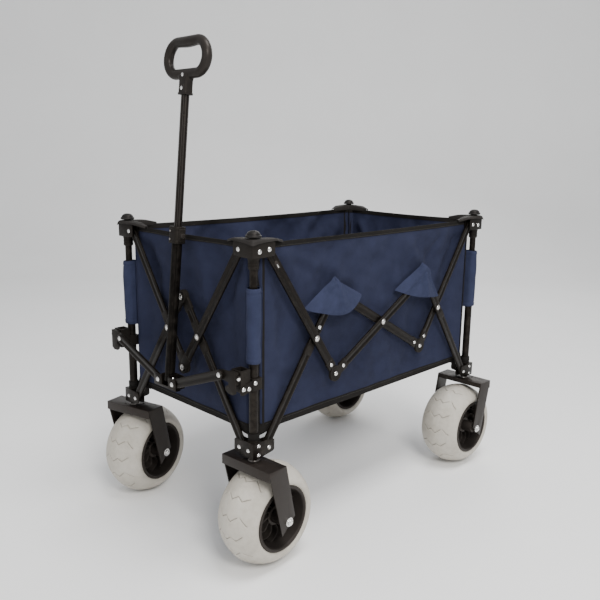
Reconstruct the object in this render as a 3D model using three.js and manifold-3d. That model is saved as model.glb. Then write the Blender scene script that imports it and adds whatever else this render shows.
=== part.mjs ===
// Folding beach cart: a fabric tub hung in a frame that folds in both directions, on four
// fat low-pressure wheels, with a telescoping pull handle.
// Millimetres. Origin on the ground in the middle of the four posts, +X towards the pull
// handle (front), +Y to the cart's left, +Z up.
import * as THREE from 'three';
import { mergeVertices } from 'three/addons/utils/BufferGeometryUtils.js';
import Module from 'manifold-3d';

const wasm = await Module();
wasm.setup();

// ---------------------------------------------------------------- driving dimensions
const POST_X = 450;            // post axis from the middle, along the cart
const POST_Y = 254.7;          // post axis from the middle, across the cart
const HUB_IN = 32;             // link pivot, inwards from the post axis
const Z_LOW = 297;             // link pivots of the lower hubs
const THETA = 55.5 * Math.PI / 180;   // outer scissor angle, cart open
const P = 282.7;               // hub pivot to crossing, every outer scissor bar
const Q_SIDE = 127.1;          // crossing to the joint with the middle scissor
const R_MID = 213.5;           // half length of a middle scissor bar
const Q_END = (POST_Y - HUB_IN - P * Math.cos(THETA)) / Math.cos(THETA); // end bars, crossing to middle
const Z_TOP = Z_LOW + 2 * P * Math.sin(THETA);  // link pivots of the top hubs
const Z_MID = Z_LOW + P * Math.sin(THETA);      // crossings

// bar layers, measured outwards from the plane of the post axes
const LAYER_A = [0.4, 7.6];
const LAYER_B = [8.1, 15.3];
const PLATE_OUT = [15.7, 17.5];
const PLATE_IN = [-1.8, 0.1];
const BAR_W = 22;              // bar width
const DISC_R = 17.5;           // plastic joint discs
const PIN_R = 3, HOLE_R = 3.5, OPEN_HOLE_R = 9.4;

const TUBE_R = 11, TUBE_BORE = 9.75, UPPER_R = 9, UPPER_BORE = 7.6;
const LEG_BOTTOM = 289, LEG_TOP = 600, UPPER_BOTTOM = 470;

const WHEEL_R = 125, AXLE_Z = 125;
const FORK_TOP = 270, TRAIL_FRONT = -39, TRAIL_REAR = 36;
const YAW_FL = 3.1 * Math.PI / 180, YAW_FR = 14.2 * Math.PI / 180;

const TUB_Z0 = 334, TUB_Z1 = 776, TUB_WALL = 2.6, TUB_GAP = 3;

// pull handle
const CLAMP_IN = 44.7;         // arm pivot, inwards from the post axis
const ARM_Z = 481, ARM_X = [58.8, 66.0];
const YOKE_Y = 30, YOKE_PIN_Z = 413, YOKE_X = POST_X + 53.4, TILT_Z = 420;
const HANDLE_LEAN = Math.atan2(65.4, 679);
const HANDLE_R = 12.5, HANDLE_BORE = 10.5, STEM_R = 9.5, STEM_BORE = 8;

// ---------------------------------------------------------------- materials
const paint = () => new THREE.MeshStandardMaterial({ color: 0x26221f, roughness: 0.42, metalness: 0.6 });
const plastic = () => new THREE.MeshStandardMaterial({ color: 0x2b2826, roughness: 0.6, metalness: 0.0 });
const navy = () => new THREE.MeshStandardMaterial({ color: 0x2c3350, roughness: 0.92, metalness: 0.0 });
const tyreMat = () => new THREE.MeshStandardMaterial({ color: 0xb9b4ab, roughness: 0.7, metalness: 0.0 });
const zinc = () => new THREE.MeshStandardMaterial({ color: 0xd8d6d2, roughness: 0.25, metalness: 1.0 });

// ---------------------------------------------------------------- solid helpers
function toSolid(geometry) {
  const g = geometry.clone();
  for (const k of Object.keys(g.attributes)) if (k !== 'position') g.deleteAttribute(k);
  const m = mergeVertices(g, 1e-4);
  return new wasm.Manifold(new wasm.Mesh({
    numProp: 3,
    vertProperties: new Float32Array(m.attributes.position.array),
    triVerts: new Uint32Array(m.index.array),
  }));
}
function fromSolid(solid) {
  const m = solid.getMesh();
  const g = new THREE.BufferGeometry();
  g.setAttribute('position', new THREE.BufferAttribute(new Float32Array(m.vertProperties), 3));
  g.setIndex(new THREE.BufferAttribute(new Uint32Array(m.triVerts), 1));
  return g;
}
function build(adds, cuts = []) {
  let s = toSolid(adds[0]);
  for (const a of adds.slice(1)) s = s.add(toSolid(a));
  for (const c of cuts) s = s.subtract(toSolid(c));
  return fromSolid(s);
}
function box(x0, x1, y0, y1, z0, z1) {
  return new THREE.BoxGeometry(x1 - x0, y1 - y0, z1 - z0)
    .translate((x0 + x1) / 2, (y0 + y1) / 2, (z0 + z1) / 2);
}
// round bar between a0 and a1 along one axis; u, v are the other two coordinates in x, y, z order
function rod(axis, a0, a1, u, v, r, n = 8, phase = 0) {
  const g = new THREE.CylinderGeometry(r, r, a1 - a0, n, 1).rotateY(phase);
  const mid = (a0 + a1) / 2;
  if (axis === 'x') return g.rotateZ(Math.PI / 2).translate(mid, u, v);
  if (axis === 'y') return g.translate(u, mid, v);
  return g.rotateX(Math.PI / 2).translate(u, v, mid);
}
function poly(points) {
  const s = new THREE.Shape();
  points.forEach(([a, b], i) => (i ? s.lineTo(a, b) : s.moveTo(a, b)));
  s.closePath();
  return s;
}
function prismXZ(points, y0, y1) {
  return new THREE.ExtrudeGeometry(poly(points), { depth: y1 - y0, bevelEnabled: false, steps: 1 })
    .rotateX(Math.PI / 2).translate(0, y1, 0);
}
function prismYZ(points, x0, x1) {
  return new THREE.ExtrudeGeometry(poly(points), { depth: x1 - x0, bevelEnabled: false, steps: 1 })
    .rotateX(Math.PI / 2).rotateZ(Math.PI / 2).translate(x0, 0, 0);
}
// mirror a corner piece into another corner, keeping its faces outward
function mirror(geometry, sx, sy) {
  const g = geometry.clone().scale(sx, sy, 1);
  if (sx * sy < 0) {
    const i = g.index.array;
    for (let k = 0; k < i.length; k += 3) { const t = i[k]; i[k] = i[k + 1]; i[k + 1] = t; }
  }
  return g;
}
const cart = new THREE.Group();
function node(name, geometry, material, parent = cart, position = [0, 0, 0]) {
  const mesh = new THREE.Mesh(geometry, material);
  mesh.name = name;
  mesh.position.set(...position);
  parent.add(mesh);
  return mesh;
}
const CORNERS = [['front_left', 1, 1], ['front_right', 1, -1], ['rear_left', -1, 1], ['rear_right', -1, -1]];

// ---------------------------------------------------------------- corner hubs and posts
// Built for the front left corner with the post axis at x = y = 0; the arms run to -X and -Y.
function hubBody(z0, zArm0, z1, pinZ) {
  const blockLo = -12.4;
  const parts = [box(blockLo, PLATE_OUT[1], blockLo, PLATE_OUT[1], z0, z1)];
  const arm = [[blockLo + 2, z1 - 1], [-44, z1 - 1], [-49, z1 - 6], [-49, zArm0 + 4], [-46, zArm0], [blockLo + 2, z0 + 0.6]];
  for (const [a, b] of [PLATE_OUT, PLATE_IN]) {
    parts.push(prismXZ(arm, a, b));
    parts.push(prismYZ(arm, a, b));
  }
  parts.push(rod('y', PLATE_IN[0] + 0.2, PLATE_OUT[1] - 0.2, -HUB_IN, pinZ, PIN_R));
  parts.push(rod('x', PLATE_IN[0] + 0.2, PLATE_OUT[1] - 0.2, -HUB_IN, pinZ, PIN_R));
  return parts;
}
const tubeBoreR = 11.5;
const lowerHub = build(
  [...hubBody(279, 285, 318, Z_LOW), rod('z', 272, 281, 0, 0, 10.5, 12)],
  [rod('z', LEG_BOTTOM - 0.4, 330, 0, 0, tubeBoreR, 12), rod('z', 271, 279.2, 0, 0, 6.7, 12)]);
const upperPost = build(
  [...hubBody(745, 748, 783, Z_TOP),
   rod('z', 722, 746, 0, 0, 12.4, 12),
   rod('z', UPPER_BOTTOM, 724, 0, 0, UPPER_R, 12),
   rod('z', 782, 794, 0, 0, 9, 12),
   new THREE.LatheGeometry([[0, 792.5], [17.5, 792.5], [18, 795], [16.2, 800], [11, 804], [0, 806]]
     .map(([r, z]) => new THREE.Vector2(r, z)), 12).rotateX(Math.PI / 2).scale(1, 1, 1)],
  [rod('z', UPPER_BOTTOM - 1, 715, 0, 0, UPPER_BORE, 12)]);
const legTube = build(
  [rod('z', LEG_BOTTOM, LEG_TOP, 0, 0, TUBE_R, 12)],
  [rod('z', LEG_BOTTOM + 4, LEG_TOP + 1, 0, 0, TUBE_BORE, 12)]);
for (const [c, sx, sy] of CORNERS) {
  const at = [sx * POST_X, sy * POST_Y, 0];
  node(`leg_tube_${c}`, mirror(legTube, sx, sy), paint(), cart, at);
  node(`lower_hub_${c}`, mirror(lowerHub, sx, sy), paint(), cart, at);
  node(`upper_post_${c}`, mirror(upperPost, sx, sy), paint(), cart, at);
}

// ---------------------------------------------------------------- scissor bars
// A bar lies in a plane of its own: (u, z) are its two coordinates there and [t0, t1] its
// thickness range. Ends: 'plain' (full thickness, round), 'outer' / 'inner' (half-thickness
// disc that laps its partner's). pins and holes are lists of [u, z].
function arc(cu, cz, r, a0, a1, n) {
  const out = [];
  for (let i = 0; i <= n; i++) {
    const a = a0 + (a1 - a0) * i / n;
    out.push([cu + r * Math.cos(a), cz + r * Math.sin(a)]);
  }
  return out;
}
function bar(plane, p0, p1, layer, side, ends, pins, holes) {
  const prism = plane === 'xz' ? prismXZ : prismYZ;
  const [lo, hi] = side > 0 ? layer : [-layer[1], -layer[0]];
  const base = plane === 'xz' ? side * POST_Y : side * POST_X;
  const mid = side * (layer[0] + layer[1]) / 2;
  const t = (a, b) => [base + Math.min(a, b), base + Math.max(a, b)];
  const full = t(lo, hi);
  const outerHalf = t(mid + side * 0.15, side * layer[1]);
  const innerHalf = t(mid - side * 0.25, side * layer[0]);
  const half = { outer: outerHalf, inner: innerHalf };
  const du = p1[0] - p0[0], dz = p1[1] - p0[1], len = Math.hypot(du, dz);
  const ang = Math.atan2(dz, du), w = BAR_W / 2;
  const along = (p, s) => [p[0] + s * Math.cos(ang), p[1] + s * Math.sin(ang)];
  const cut0 = ends[0] === 'plain' ? 0 : 23, cut1 = ends[1] === 'plain' ? 0 : 23;
  const a = along(p0, cut0), b = along(p1, -cut1);
  const nx = -Math.sin(ang) * w, nz = Math.cos(ang) * w;
  let outline = [];
  if (ends[0] === 'plain') outline.push(...arc(a[0], a[1], w, ang + Math.PI / 2, ang + 3 * Math.PI / 2, 5));
  else outline.push([a[0] + nx, a[1] + nz], [a[0] - nx, a[1] - nz]);
  if (ends[1] === 'plain') outline.push(...arc(b[0], b[1], w, ang - Math.PI / 2, ang + Math.PI / 2, 5));
  else outline.push([b[0] - nx, b[1] - nz], [b[0] + nx, b[1] + nz]);
  const adds = [prism(outline, ...full)];
  for (const [k, p, s] of [[0, p0, 1], [1, p1, -1]]) {
    if (ends[k] === 'plain') continue;
    const [h0, h1] = half[ends[k]];
    const c = along(p, s * 24);
    adds.push(prism([[p[0] + nx, p[1] + nz], [p[0] - nx, p[1] - nz], [c[0] - nx, c[1] - nz], [c[0] + nx, c[1] + nz]]
      .sort((m, n) => Math.atan2(m[1] - (p[1] + c[1]) / 2, m[0] - (p[0] + c[0]) / 2)
        - Math.atan2(n[1] - (p[1] + c[1]) / 2, n[0] - (p[0] + c[0]) / 2)), h0, h1));
    adds.push(prism(arc(p[0], p[1], DISC_R, 0, 2 * Math.PI * 15 / 16, 15), h0, h1));
  }
  const ax = plane === 'xz' ? 'y' : 'x';
  const cuts = [];
  for (const [u, z, r] of holes) cuts.push(rod(ax, base - 20, base + 20, u, z, r || HOLE_R));
  for (const [u, z, from, to] of pins) {
    const [s0, s1] = t(side * from, side * to);
    adds.push(rod(ax, s0, s1, u, z, PIN_R));
  }
  const g = build(adds, cuts);
  const cu = (p0[0] + p1[0]) / 2, cz = (p0[1] + p1[1]) / 2;
  const at = plane === 'xz' ? [cu, base, cz] : [base, cu, cz];
  return [g.translate(-at[0], -at[1], -at[2]), at];
}
const xHub = POST_X - HUB_IN, yHub = POST_Y - HUB_IN;
const xC = xHub - P * Math.cos(THETA), xJ = xC - Q_SIDE * Math.cos(THETA);
const zJ = Z_MID - Q_SIDE * Math.sin(THETA), zT = Z_MID + Q_SIDE * Math.sin(THETA);
const yC = yHub - P * Math.cos(THETA);
const zV = Z_MID - Q_END * Math.sin(THETA), zA = Z_MID + Q_END * Math.sin(THETA);
const INB = LAYER_A[0] + 0.2;                       // pins of the outer layer reach through the inner one
const midA = (LAYER_A[0] + LAYER_A[1]) / 2, midB = (LAYER_B[0] + LAYER_B[1]) / 2;

for (const [side, s] of [['left', 1], ['right', -1]]) {
  const add = (name, p0, p1, layer, ends, pins, holes) => {
    const [g, at] = bar('xz', p0, p1, layer, s, ends, pins, holes);
    node(`${side}_${name}`, g, paint(), cart, at);
  };
  const through = LAYER_B[0] + 0.5;
  // inner bars
  add('inner_bar_front', [xHub, Z_LOW], [xJ, zT], LAYER_A, ['plain', 'outer'],
    [[xJ, zT, INB, midA + 1]], [[xHub, Z_LOW], [xC, Z_MID]]);
  add('inner_bar_middle', [xJ, zT], [-xJ, zJ], LAYER_A, ['inner', 'inner'],
    [], [[xJ, zT], [0, Z_MID], [-xJ, zJ]]);
  add('inner_bar_rear', [-xJ, zJ], [-xHub, Z_TOP], LAYER_A, ['outer', 'plain'],
    [[-xJ, zJ, INB, midA + 1]], [[-xHub, Z_TOP], [-xC, Z_MID]]);
  // outer bars
  add('outer_bar_front', [xHub, Z_TOP], [xJ, zJ], LAYER_B, ['plain', 'inner'],
    [[xC, Z_MID, INB, through]], [[xHub, Z_TOP], [xJ, zJ, OPEN_HOLE_R]]);
  add('outer_bar_middle', [xJ, zJ], [-xJ, zT], LAYER_B, ['outer', 'inner'],
    [[0, Z_MID, INB, through], [xJ, zJ, LAYER_B[0] + 0.2, midB + 1]], [[-xJ, zT, OPEN_HOLE_R]]);
  add('outer_bar_rear', [-xJ, zT], [-xHub, Z_LOW], LAYER_B, ['outer', 'plain'],
    [[-xC, Z_MID, INB, through], [-xJ, zT, LAYER_B[0] + 0.2, midB + 1]], [[-xHub, Z_LOW]]);
}
for (const [end, s] of [['front', 1], ['rear', -1]]) {
  const add = (name, p0, p1, layer, pins, holes) => {
    const [g, at] = bar('yz', p0, p1, layer, s, ['plain', 'plain'], pins, holes);
    node(`${end}_${name}`, g, paint(), cart, at);
  };
  const through = LAYER_B[0] + 0.5;
  add('inner_bar_left', [yHub, Z_LOW], [0, zA], LAYER_A, [], [[yHub, Z_LOW], [yC, Z_MID], [0, zA]]);
  add('outer_bar_left', [yHub, Z_TOP], [0, zV], LAYER_B,
    [[yC, Z_MID, INB, through], [0, zV, INB, through]], [[yHub, Z_TOP]]);
  add('outer_bar_right', [-yHub, Z_LOW], [0, zA], LAYER_B,
    [[-yC, Z_MID, INB, through], [0, zA, INB, through]], [[-yHub, Z_LOW]]);
  add('inner_bar_right', [-yHub, Z_TOP], [0, zV], LAYER_A, [], [[-yHub, Z_TOP], [-yC, Z_MID], [0, zV]]);
}

// ---------------------------------------------------------------- fabric tub
{
  const x = POST_X - TUB_GAP, y = POST_Y - TUB_GAP, c = 27;
  const ring = (o) => {
    const k = c + (Math.SQRT2 - 1) * o * 0.0;
    return [[x - o, y - k - o * 0.4142], [x - k - o * 0.4142, y - o], [-x + k + o * 0.4142, y - o], [-x + o, y - k - o * 0.4142],
      [-x + o, -y + k + o * 0.4142], [-x + k + o * 0.4142, -y + o], [x - k - o * 0.4142, -y + o], [x - o, -y + k + o * 0.4142]];
  };
  const solid = (o, z0, z1) => new THREE.ExtrudeGeometry(poly(ring(o)), { depth: z1 - z0, bevelEnabled: false, steps: 1 })
    .translate(0, 0, z0);
  node('basket_tub', build([solid(0, TUB_Z0, TUB_Z1)], [solid(TUB_WALL, TUB_Z0 + 4, TUB_Z1 + 5)]), navy());
}

// ---------------------------------------------------------------- wheels
// Fork frame: swivel axis at x = y = 0, axle along Y at (trail, AXLE_Z).
function forkGeometry(t) {
  const s = Math.sign(t);
  const leg = [[-s * 28, FORK_TOP - 2], [s * 28, FORK_TOP - 2], [t + s * 20, 134], [t - s * 23, 96]];
  return build([
    box(-28, 28, -79, 79, FORK_TOP - 3, FORK_TOP),
    box(Math.min(-s * 28, -s * 25.4), Math.max(-s * 28, -s * 25.4), -79, 79, 246, FORK_TOP - 1),
    box(Math.min(s * 28, s * 25.4), Math.max(s * 28, s * 25.4), -79, 79, 256, FORK_TOP - 1),
    prismXZ(leg, 75.6, 79), prismXZ(leg, -79, -75.6),
    rod('z', FORK_TOP - 1, 278.6, 0, 0, 6.2, 12),
  ], [rod('y', -90, 90, t, AXLE_Z, 5.5, 12)]);
}
const lathe = (pts, n) => {
  const v = pts.map(([r, a]) => new THREE.Vector2(r, a));
  v.push(v[0].clone());
  return new THREE.LatheGeometry(v, n);
};
const SEG = 20;
const tyreGeo = lathe([[82, -57], [87, -62.8], [95, -62.8], [109, -48.5], [120.5, -28], [WHEEL_R, 0],
  [120.5, 28], [109, 48.5], [95, 62.8], [87, 62.8], [82, 57],
  [82, 50], [102, 44], [117, 0], [102, -44], [82, -50]], SEG);
const rimGeo = lathe([[6, -68], [16, -68], [17, -4], [71, -4], [72, -56], [81.4, -56], [76, -50],
  [76, 50], [81.4, 56], [72, 56], [71, 4], [17, 4], [16, 68], [6, 68]], SEG);
const closeUp = (g) => fromSolid(toSolid(g));
const tyreG = closeUp(tyreGeo), rimG = closeUp(rimGeo);
const boltG = build([rod('y', -82, 82, 0, 0, 5, 12), rod('y', 79.4, 84.5, 0, 0, 9, 6), rod('y', -84.5, -79.4, 0, 0, 9, 6)]);
for (const [c, sx, sy] of CORNERS) {
  const fork = new THREE.Group();
  fork.position.set(sx * POST_X, sy * POST_Y, 0);
  fork.rotation.z = sx < 0 ? 0 : (sy > 0 ? YAW_FL : YAW_FR);
  cart.add(fork);
  const t = sx > 0 ? TRAIL_FRONT : TRAIL_REAR;
  node(`fork_${c}`, forkGeometry(t), paint(), fork);
  const wheel = new THREE.Group();
  wheel.position.set(t, 0, AXLE_Z);
  fork.add(wheel);
  // turn so that a corner of the faceted tread stands on the ground
  const spin = (g) => g.clone().rotateY(Math.PI / 2);
  node(`tyre_${c}`, spin(tyreG), tyreMat(), wheel);
  node(`wheel_rim_${c}`, spin(rimG), plastic(), wheel);
  node(`axle_bolt_${c}`, boltG.clone(), zinc(), wheel);
}

// ---------------------------------------------------------------- pull handle
// Clamp and knuckle, built for the left post with its axis at x = y = 0.
const clamp = build([
  box(-13.6, 14, -13.6, 14, 444, 472),
  prismXZ([[12, 470], [12, 447], [40, 440], [47, 442], [50, 449], [49, 458], [30, 466]], 10, 12.6),
  box(19, 47, -22, 10.4, 447, 497),
  box(45, 55.4, -22, -19, 474, 488),
  box(45, 55.4, 7.4, 10.4, 474, 488),
  rod('y', -21, 9.4, 53, ARM_Z, 2.4, 8),
], [rod('z', 430, 480, 0, 0, tubeBoreR, 12), box(22, 44, -18, 7, 463, 500)]);
const hook = [[6.6, 496], [6.6, 447], [-4, 441], [-20, 442], [-29, 447], [-31, 455], [-26, 459], [-20, 462], [-19, 468],
  [-36, 470], [-CLAMP_IN, 468.6], [-53.5, 472], [-57, ARM_Z], [-53.5, 490], [-CLAMP_IN, 493.4], [-34, 494.5]];
for (const [side, s] of [['left', 1], ['right', -1]]) {
  const at = [POST_X, s * POST_Y, 0];
  node(`post_clamp_${side}`, mirror(clamp, 1, s), plastic(), cart, at);
  const parts = [prismYZ(hook, 56.7, 58.4), box(49.9, 57, -18.6, 7, 466, 495)];
  if (s > 0) parts.push(rod('x', 58, 66.3, -CLAMP_IN, ARM_Z, PIN_R));
  const knuckle = build(parts, [rod('y', -30, 20, 53, ARM_Z, 2.9, 8)]);
  node(`handle_knuckle_${side}`, mirror(knuckle, 1, s), plastic(), cart, at);
  const py = s * (POST_Y - CLAMP_IN), qy = s * YOKE_Y;
  const ang = Math.atan2(YOKE_PIN_Z - ARM_Z, qy - py);
  const outline = [...arc(py, ARM_Z, BAR_W / 2, ang + Math.PI / 2, ang + 3 * Math.PI / 2, 6),
    ...arc(qy, YOKE_PIN_Z, BAR_W / 2, ang - Math.PI / 2, ang + Math.PI / 2, 6)];
  const arm = build([prismYZ(outline, POST_X + ARM_X[0], POST_X + ARM_X[1])],
    [rod('x', 500, 530, py, ARM_Z, HOLE_R), rod('x', 500, 530, qy, YOKE_PIN_Z, HOLE_R)]);
  const am = [POST_X + 62.4, (py + qy) / 2, (ARM_Z + YOKE_PIN_Z) / 2];
  node(`handle_arm_${side}`, arm.translate(-am[0], -am[1], -am[2]), paint(), cart, am);
}
const yokeX = (v) => POST_X + v;
const frontPlate = [[-46, 400], [-44, 398], [44, 398], [46, 400], [46, 424], [42, 428], [13.8, 428], [13.8, 404], [-13.8, 404], [-13.8, 428], [-42, 428], [-46, 424]];
node('handle_yoke', build([
  prismYZ(frontPlate, yokeX(66.5), yokeX(68.5)),
  box(yokeX(36.2), yokeX(38.2), -38.5, 38.5, 398, 430),
  box(yokeX(36.2), yokeX(68.5), -38.5, 38.5, 398, 400),
  box(yokeX(54), yokeX(68.5), -46, 46, 398, 400),
  box(yokeX(37.5), yokeX(67), 14, 16.4, 399, 431),
  box(yokeX(37.5), yokeX(67), -16.4, -14, 399, 431),
  rod('x', yokeX(37), yokeX(68), YOKE_Y, YOKE_PIN_Z, PIN_R),
  rod('x', yokeX(37), yokeX(68), -YOKE_Y, YOKE_PIN_Z, PIN_R),
  rod('y', -15, 15, YOKE_X, TILT_Z, 4),
]).translate(-YOKE_X, 0, -TILT_Z), paint(), cart, [YOKE_X, 0, TILT_Z]);

const handle = new THREE.Group();       // local z runs up the leaning tube
handle.position.set(YOKE_X, 0, TILT_Z);
handle.rotation.y = -HANDLE_LEAN;
cart.add(handle);
const COLLAR0 = 335, COLLAR1 = 375, STEM0 = 330, STEM1 = 700, GRIP0 = 706;
node('handle_lower_tube', build([
  rod('z', -7, COLLAR1 - 2, 0, 0, HANDLE_R, 12),
  new THREE.ExtrudeGeometry(poly([[-14.2, -12], [-10, -18], [11, -18], [17, -12], [17, 12], [11, 18], [-10, 18], [-14.2, 12]]),
    { depth: COLLAR1 - COLLAR0, bevelEnabled: false, steps: 1 }).translate(0, 0, COLLAR0),
  box(-10, 10, 8, 20, COLLAR0 + 2, COLLAR1 - 3),
], [
  rod('z', 12, COLLAR1 + 1, 0, 0, HANDLE_BORE, 12),
  rod('y', -20, 20, 0, 0, 4.5, 12),
  rod('y', 12.2, 30, 0, 354, 6.6, 12),
]), paint(), handle);
node('handle_release_button', build([rod('y', 14.6, 22.6, 0, 354, 6, 12)]), plastic(), handle);
node('handle_upper_tube', build([rod('z', STEM0, STEM1, 0, 0, STEM_R, 12)],
  [rod('z', STEM0 - 1, STEM1 - 6, 0, 0, STEM_BORE, 12)]), paint(), handle);
{
  const round = (w, h, cz, r, n) => {
    const out = [];
    for (const [sx, sz, a] of [[1, -1, -Math.PI / 2], [1, 1, 0], [-1, 1, Math.PI / 2], [-1, -1, Math.PI]]) {
      out.push(...arc(sx * (w / 2 - r), cz + sz * (h / 2 - r), r, a, a + Math.PI / 2, n));
    }
    return out;
  };
  const mid = GRIP0 + 53;
  node('handle_grip', build([
    prismYZ(round(167, 106, mid, 34, 5), -11, 11),
    box(-12, 12, -15, 15, 684, GRIP0 + 14),
  ], [
    prismYZ(round(123, 62, mid, 22, 4), -13, 13),
    rod('z', 680, STEM1 + 0.4, 0, 0, 9.95, 12),
  ]), plastic(), handle);
}

export default cart;
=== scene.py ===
import bpy
import bmesh
import math
import numpy as np
from mathutils import Matrix, Vector


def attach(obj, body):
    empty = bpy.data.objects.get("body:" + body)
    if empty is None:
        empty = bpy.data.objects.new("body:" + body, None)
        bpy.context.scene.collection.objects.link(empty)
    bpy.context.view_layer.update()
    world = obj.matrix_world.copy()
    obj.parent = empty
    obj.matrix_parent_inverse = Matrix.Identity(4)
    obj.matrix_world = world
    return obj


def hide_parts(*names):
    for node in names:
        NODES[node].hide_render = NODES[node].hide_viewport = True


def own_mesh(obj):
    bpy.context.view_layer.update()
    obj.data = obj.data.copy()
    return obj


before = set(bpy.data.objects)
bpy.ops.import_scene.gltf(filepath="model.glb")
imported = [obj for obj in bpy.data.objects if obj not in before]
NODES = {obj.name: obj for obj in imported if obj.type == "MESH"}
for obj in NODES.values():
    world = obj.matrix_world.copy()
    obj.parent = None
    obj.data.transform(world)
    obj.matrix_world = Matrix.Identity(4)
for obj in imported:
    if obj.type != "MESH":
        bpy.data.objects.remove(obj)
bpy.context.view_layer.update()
MM = 0.001

# ------------------------------------------------------------------ dimensions (mm)
POST_X, POST_Y, HUB_IN = 450.0, 254.7, 32.0
Z_LOW = 297.0
THETA = math.radians(55.5)
P, Q_SIDE = 282.7, 127.1
Q_END = (POST_Y - HUB_IN - P * math.cos(THETA)) / math.cos(THETA)
Z_TOP = Z_LOW + 2 * P * math.sin(THETA)
Z_MID = Z_LOW + P * math.sin(THETA)
X_HUB, Y_HUB = POST_X - HUB_IN, POST_Y - HUB_IN
X_C = X_HUB - P * math.cos(THETA)
X_J = X_C - Q_SIDE * math.cos(THETA)
Z_J, Z_T = Z_MID - Q_SIDE * math.sin(THETA), Z_MID + Q_SIDE * math.sin(THETA)
Y_C = Y_HUB - P * math.cos(THETA)
Z_V, Z_A = Z_MID - Q_END * math.sin(THETA), Z_MID + Q_END * math.sin(THETA)
LAYER_A, LAYER_B = (0.4, 7.6), (8.1, 15.3)
AXLE_Z, TRAIL_FRONT, TRAIL_REAR = 125.0, -39.0, 36.0
YAW = {"front_left": math.radians(3.1), "front_right": math.radians(14.2), "rear_left": 0.0, "rear_right": 0.0}
CORNERS = [("front_left", 1, 1), ("front_right", 1, -1), ("rear_left", -1, 1), ("rear_right", -1, -1)]
PANEL_Y, PANEL_X, CHAMFER = POST_Y - 3.0, POST_X - 3.0, 27.0
TUB_Z0, TUB_Z1 = 335.0, 776.0
HANDLE_LEAN = math.atan2(65.4, 679.0)
H = Matrix.Translation((503.4, 0, 420)) @ Matrix.Rotation(-HANDLE_LEAN, 4, 'Y')
FLAT_X, FLAT_Y = POST_X - 3.0 - 27.0 + 1.0, POST_Y - 3.0 - 27.0 + 1.0          # half lengths of the flat panels
FOLD_KEEP_X = (2 * FLAT_X - (900.0 - 530.29)) / (2 * FLAT_X)
FOLD_KEEP_Y = (2 * FLAT_Y - (509.4 - 180.23)) / (2 * FLAT_Y)
FLOOR_ANCHOR, FLOOR_KEEP = 0.2479, 0.318


# ------------------------------------------------------------------ materials
class Mat:
    """A small builder for node materials."""

    def __init__(self, name):
        self.m = bpy.data.materials.new(name)
        self.m.use_nodes = True
        self.t = self.m.node_tree
        self.t.nodes.clear()
        self.out = self.t.nodes.new("ShaderNodeOutputMaterial")
        self.b = self.t.nodes.new("ShaderNodeBsdfPrincipled")
        self.t.links.new(self.b.outputs[0], self.out.inputs[0])

    def node(self, kind, **kw):
        n = self.t.nodes.new("ShaderNode" + kind)
        for k, v in kw.items():
            if k.startswith("i_"):
                key = k[2:]
                n.inputs[int(key) if key.isdigit() else key.replace("_", " ")].default_value = v
            else:
                setattr(n, k, v)
        return n

    def link(self, a, b):
        self.t.links.new(a, b)

    def coord(self, kind="Object", scale=(1, 1, 1), rot=(0, 0, 0)):
        c = self.node("TexCoord")
        mp = self.node("Mapping")
        mp.inputs["Scale"].default_value = scale
        mp.inputs["Rotation"].default_value = rot
        self.link(c.outputs[kind], mp.inputs["Vector"])
        return mp.outputs[0]

    def noise(self, vec, scale, detail=3.0, rough=0.5, dist=0.0):
        n = self.node("TexNoise")
        n.inputs["Scale"].default_value = scale
        n.inputs["Detail"].default_value = detail
        n.inputs["Roughness"].default_value = rough
        n.inputs["Distortion"].default_value = dist
        self.link(vec, n.inputs["Vector"])
        return n.outputs["Fac"]

    def ramp(self, fac, stops):
        r = self.node("ValToRGB")
        el = r.color_ramp.elements
        while len(el) < len(stops):
            el.new(0.5)
        for e, (p, c) in zip(el, stops):
            e.position = p
            e.color = c if len(c) == 4 else (*c, 1)
        self.link(fac, r.inputs[0])
        return r.outputs[0]

    def math(self, op, a, b=None, c=None, clamp=False):
        n = self.node("Math", operation=op, use_clamp=clamp)
        for i, v in enumerate((a, b, c)):
            if v is None:
                continue
            if isinstance(v, (int, float)):
                n.inputs[i].default_value = v
            else:
                self.link(v, n.inputs[i])
        return n.outputs[0]

    def mix(self, fac, a, b, blend="MIX"):
        n = self.node("Mix", data_type="RGBA", blend_type=blend)
        for sock, v in ((n.inputs["Factor"], fac), (n.inputs[6], a), (n.inputs[7], b)):
            if isinstance(v, (int, float)):
                sock.default_value = v
            elif isinstance(v, tuple):
                sock.default_value = v if len(v) == 4 else (*v, 1)
            else:
                self.link(v, sock)
        return n.outputs[2]

    def bump(self, height, strength=0.5, distance=0.001, normal=None):
        n = self.node("Bump")
        n.inputs["Strength"].default_value = strength
        n.inputs["Distance"].default_value = distance
        self.link(height, n.inputs["Height"])
        if normal is not None:
            self.link(normal, n.inputs["Normal"])
        return n.outputs[0]

    def set(self, **kw):
        for k, v in kw.items():
            s = self.b.inputs[k.replace("_", " ")]
            if isinstance(v, (int, float)):
                s.default_value = v
            elif isinstance(v, tuple):
                s.default_value = v if len(v) == len(s.default_value) else (*v, 1)
            else:
                self.link(v, s)
        return self


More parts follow.
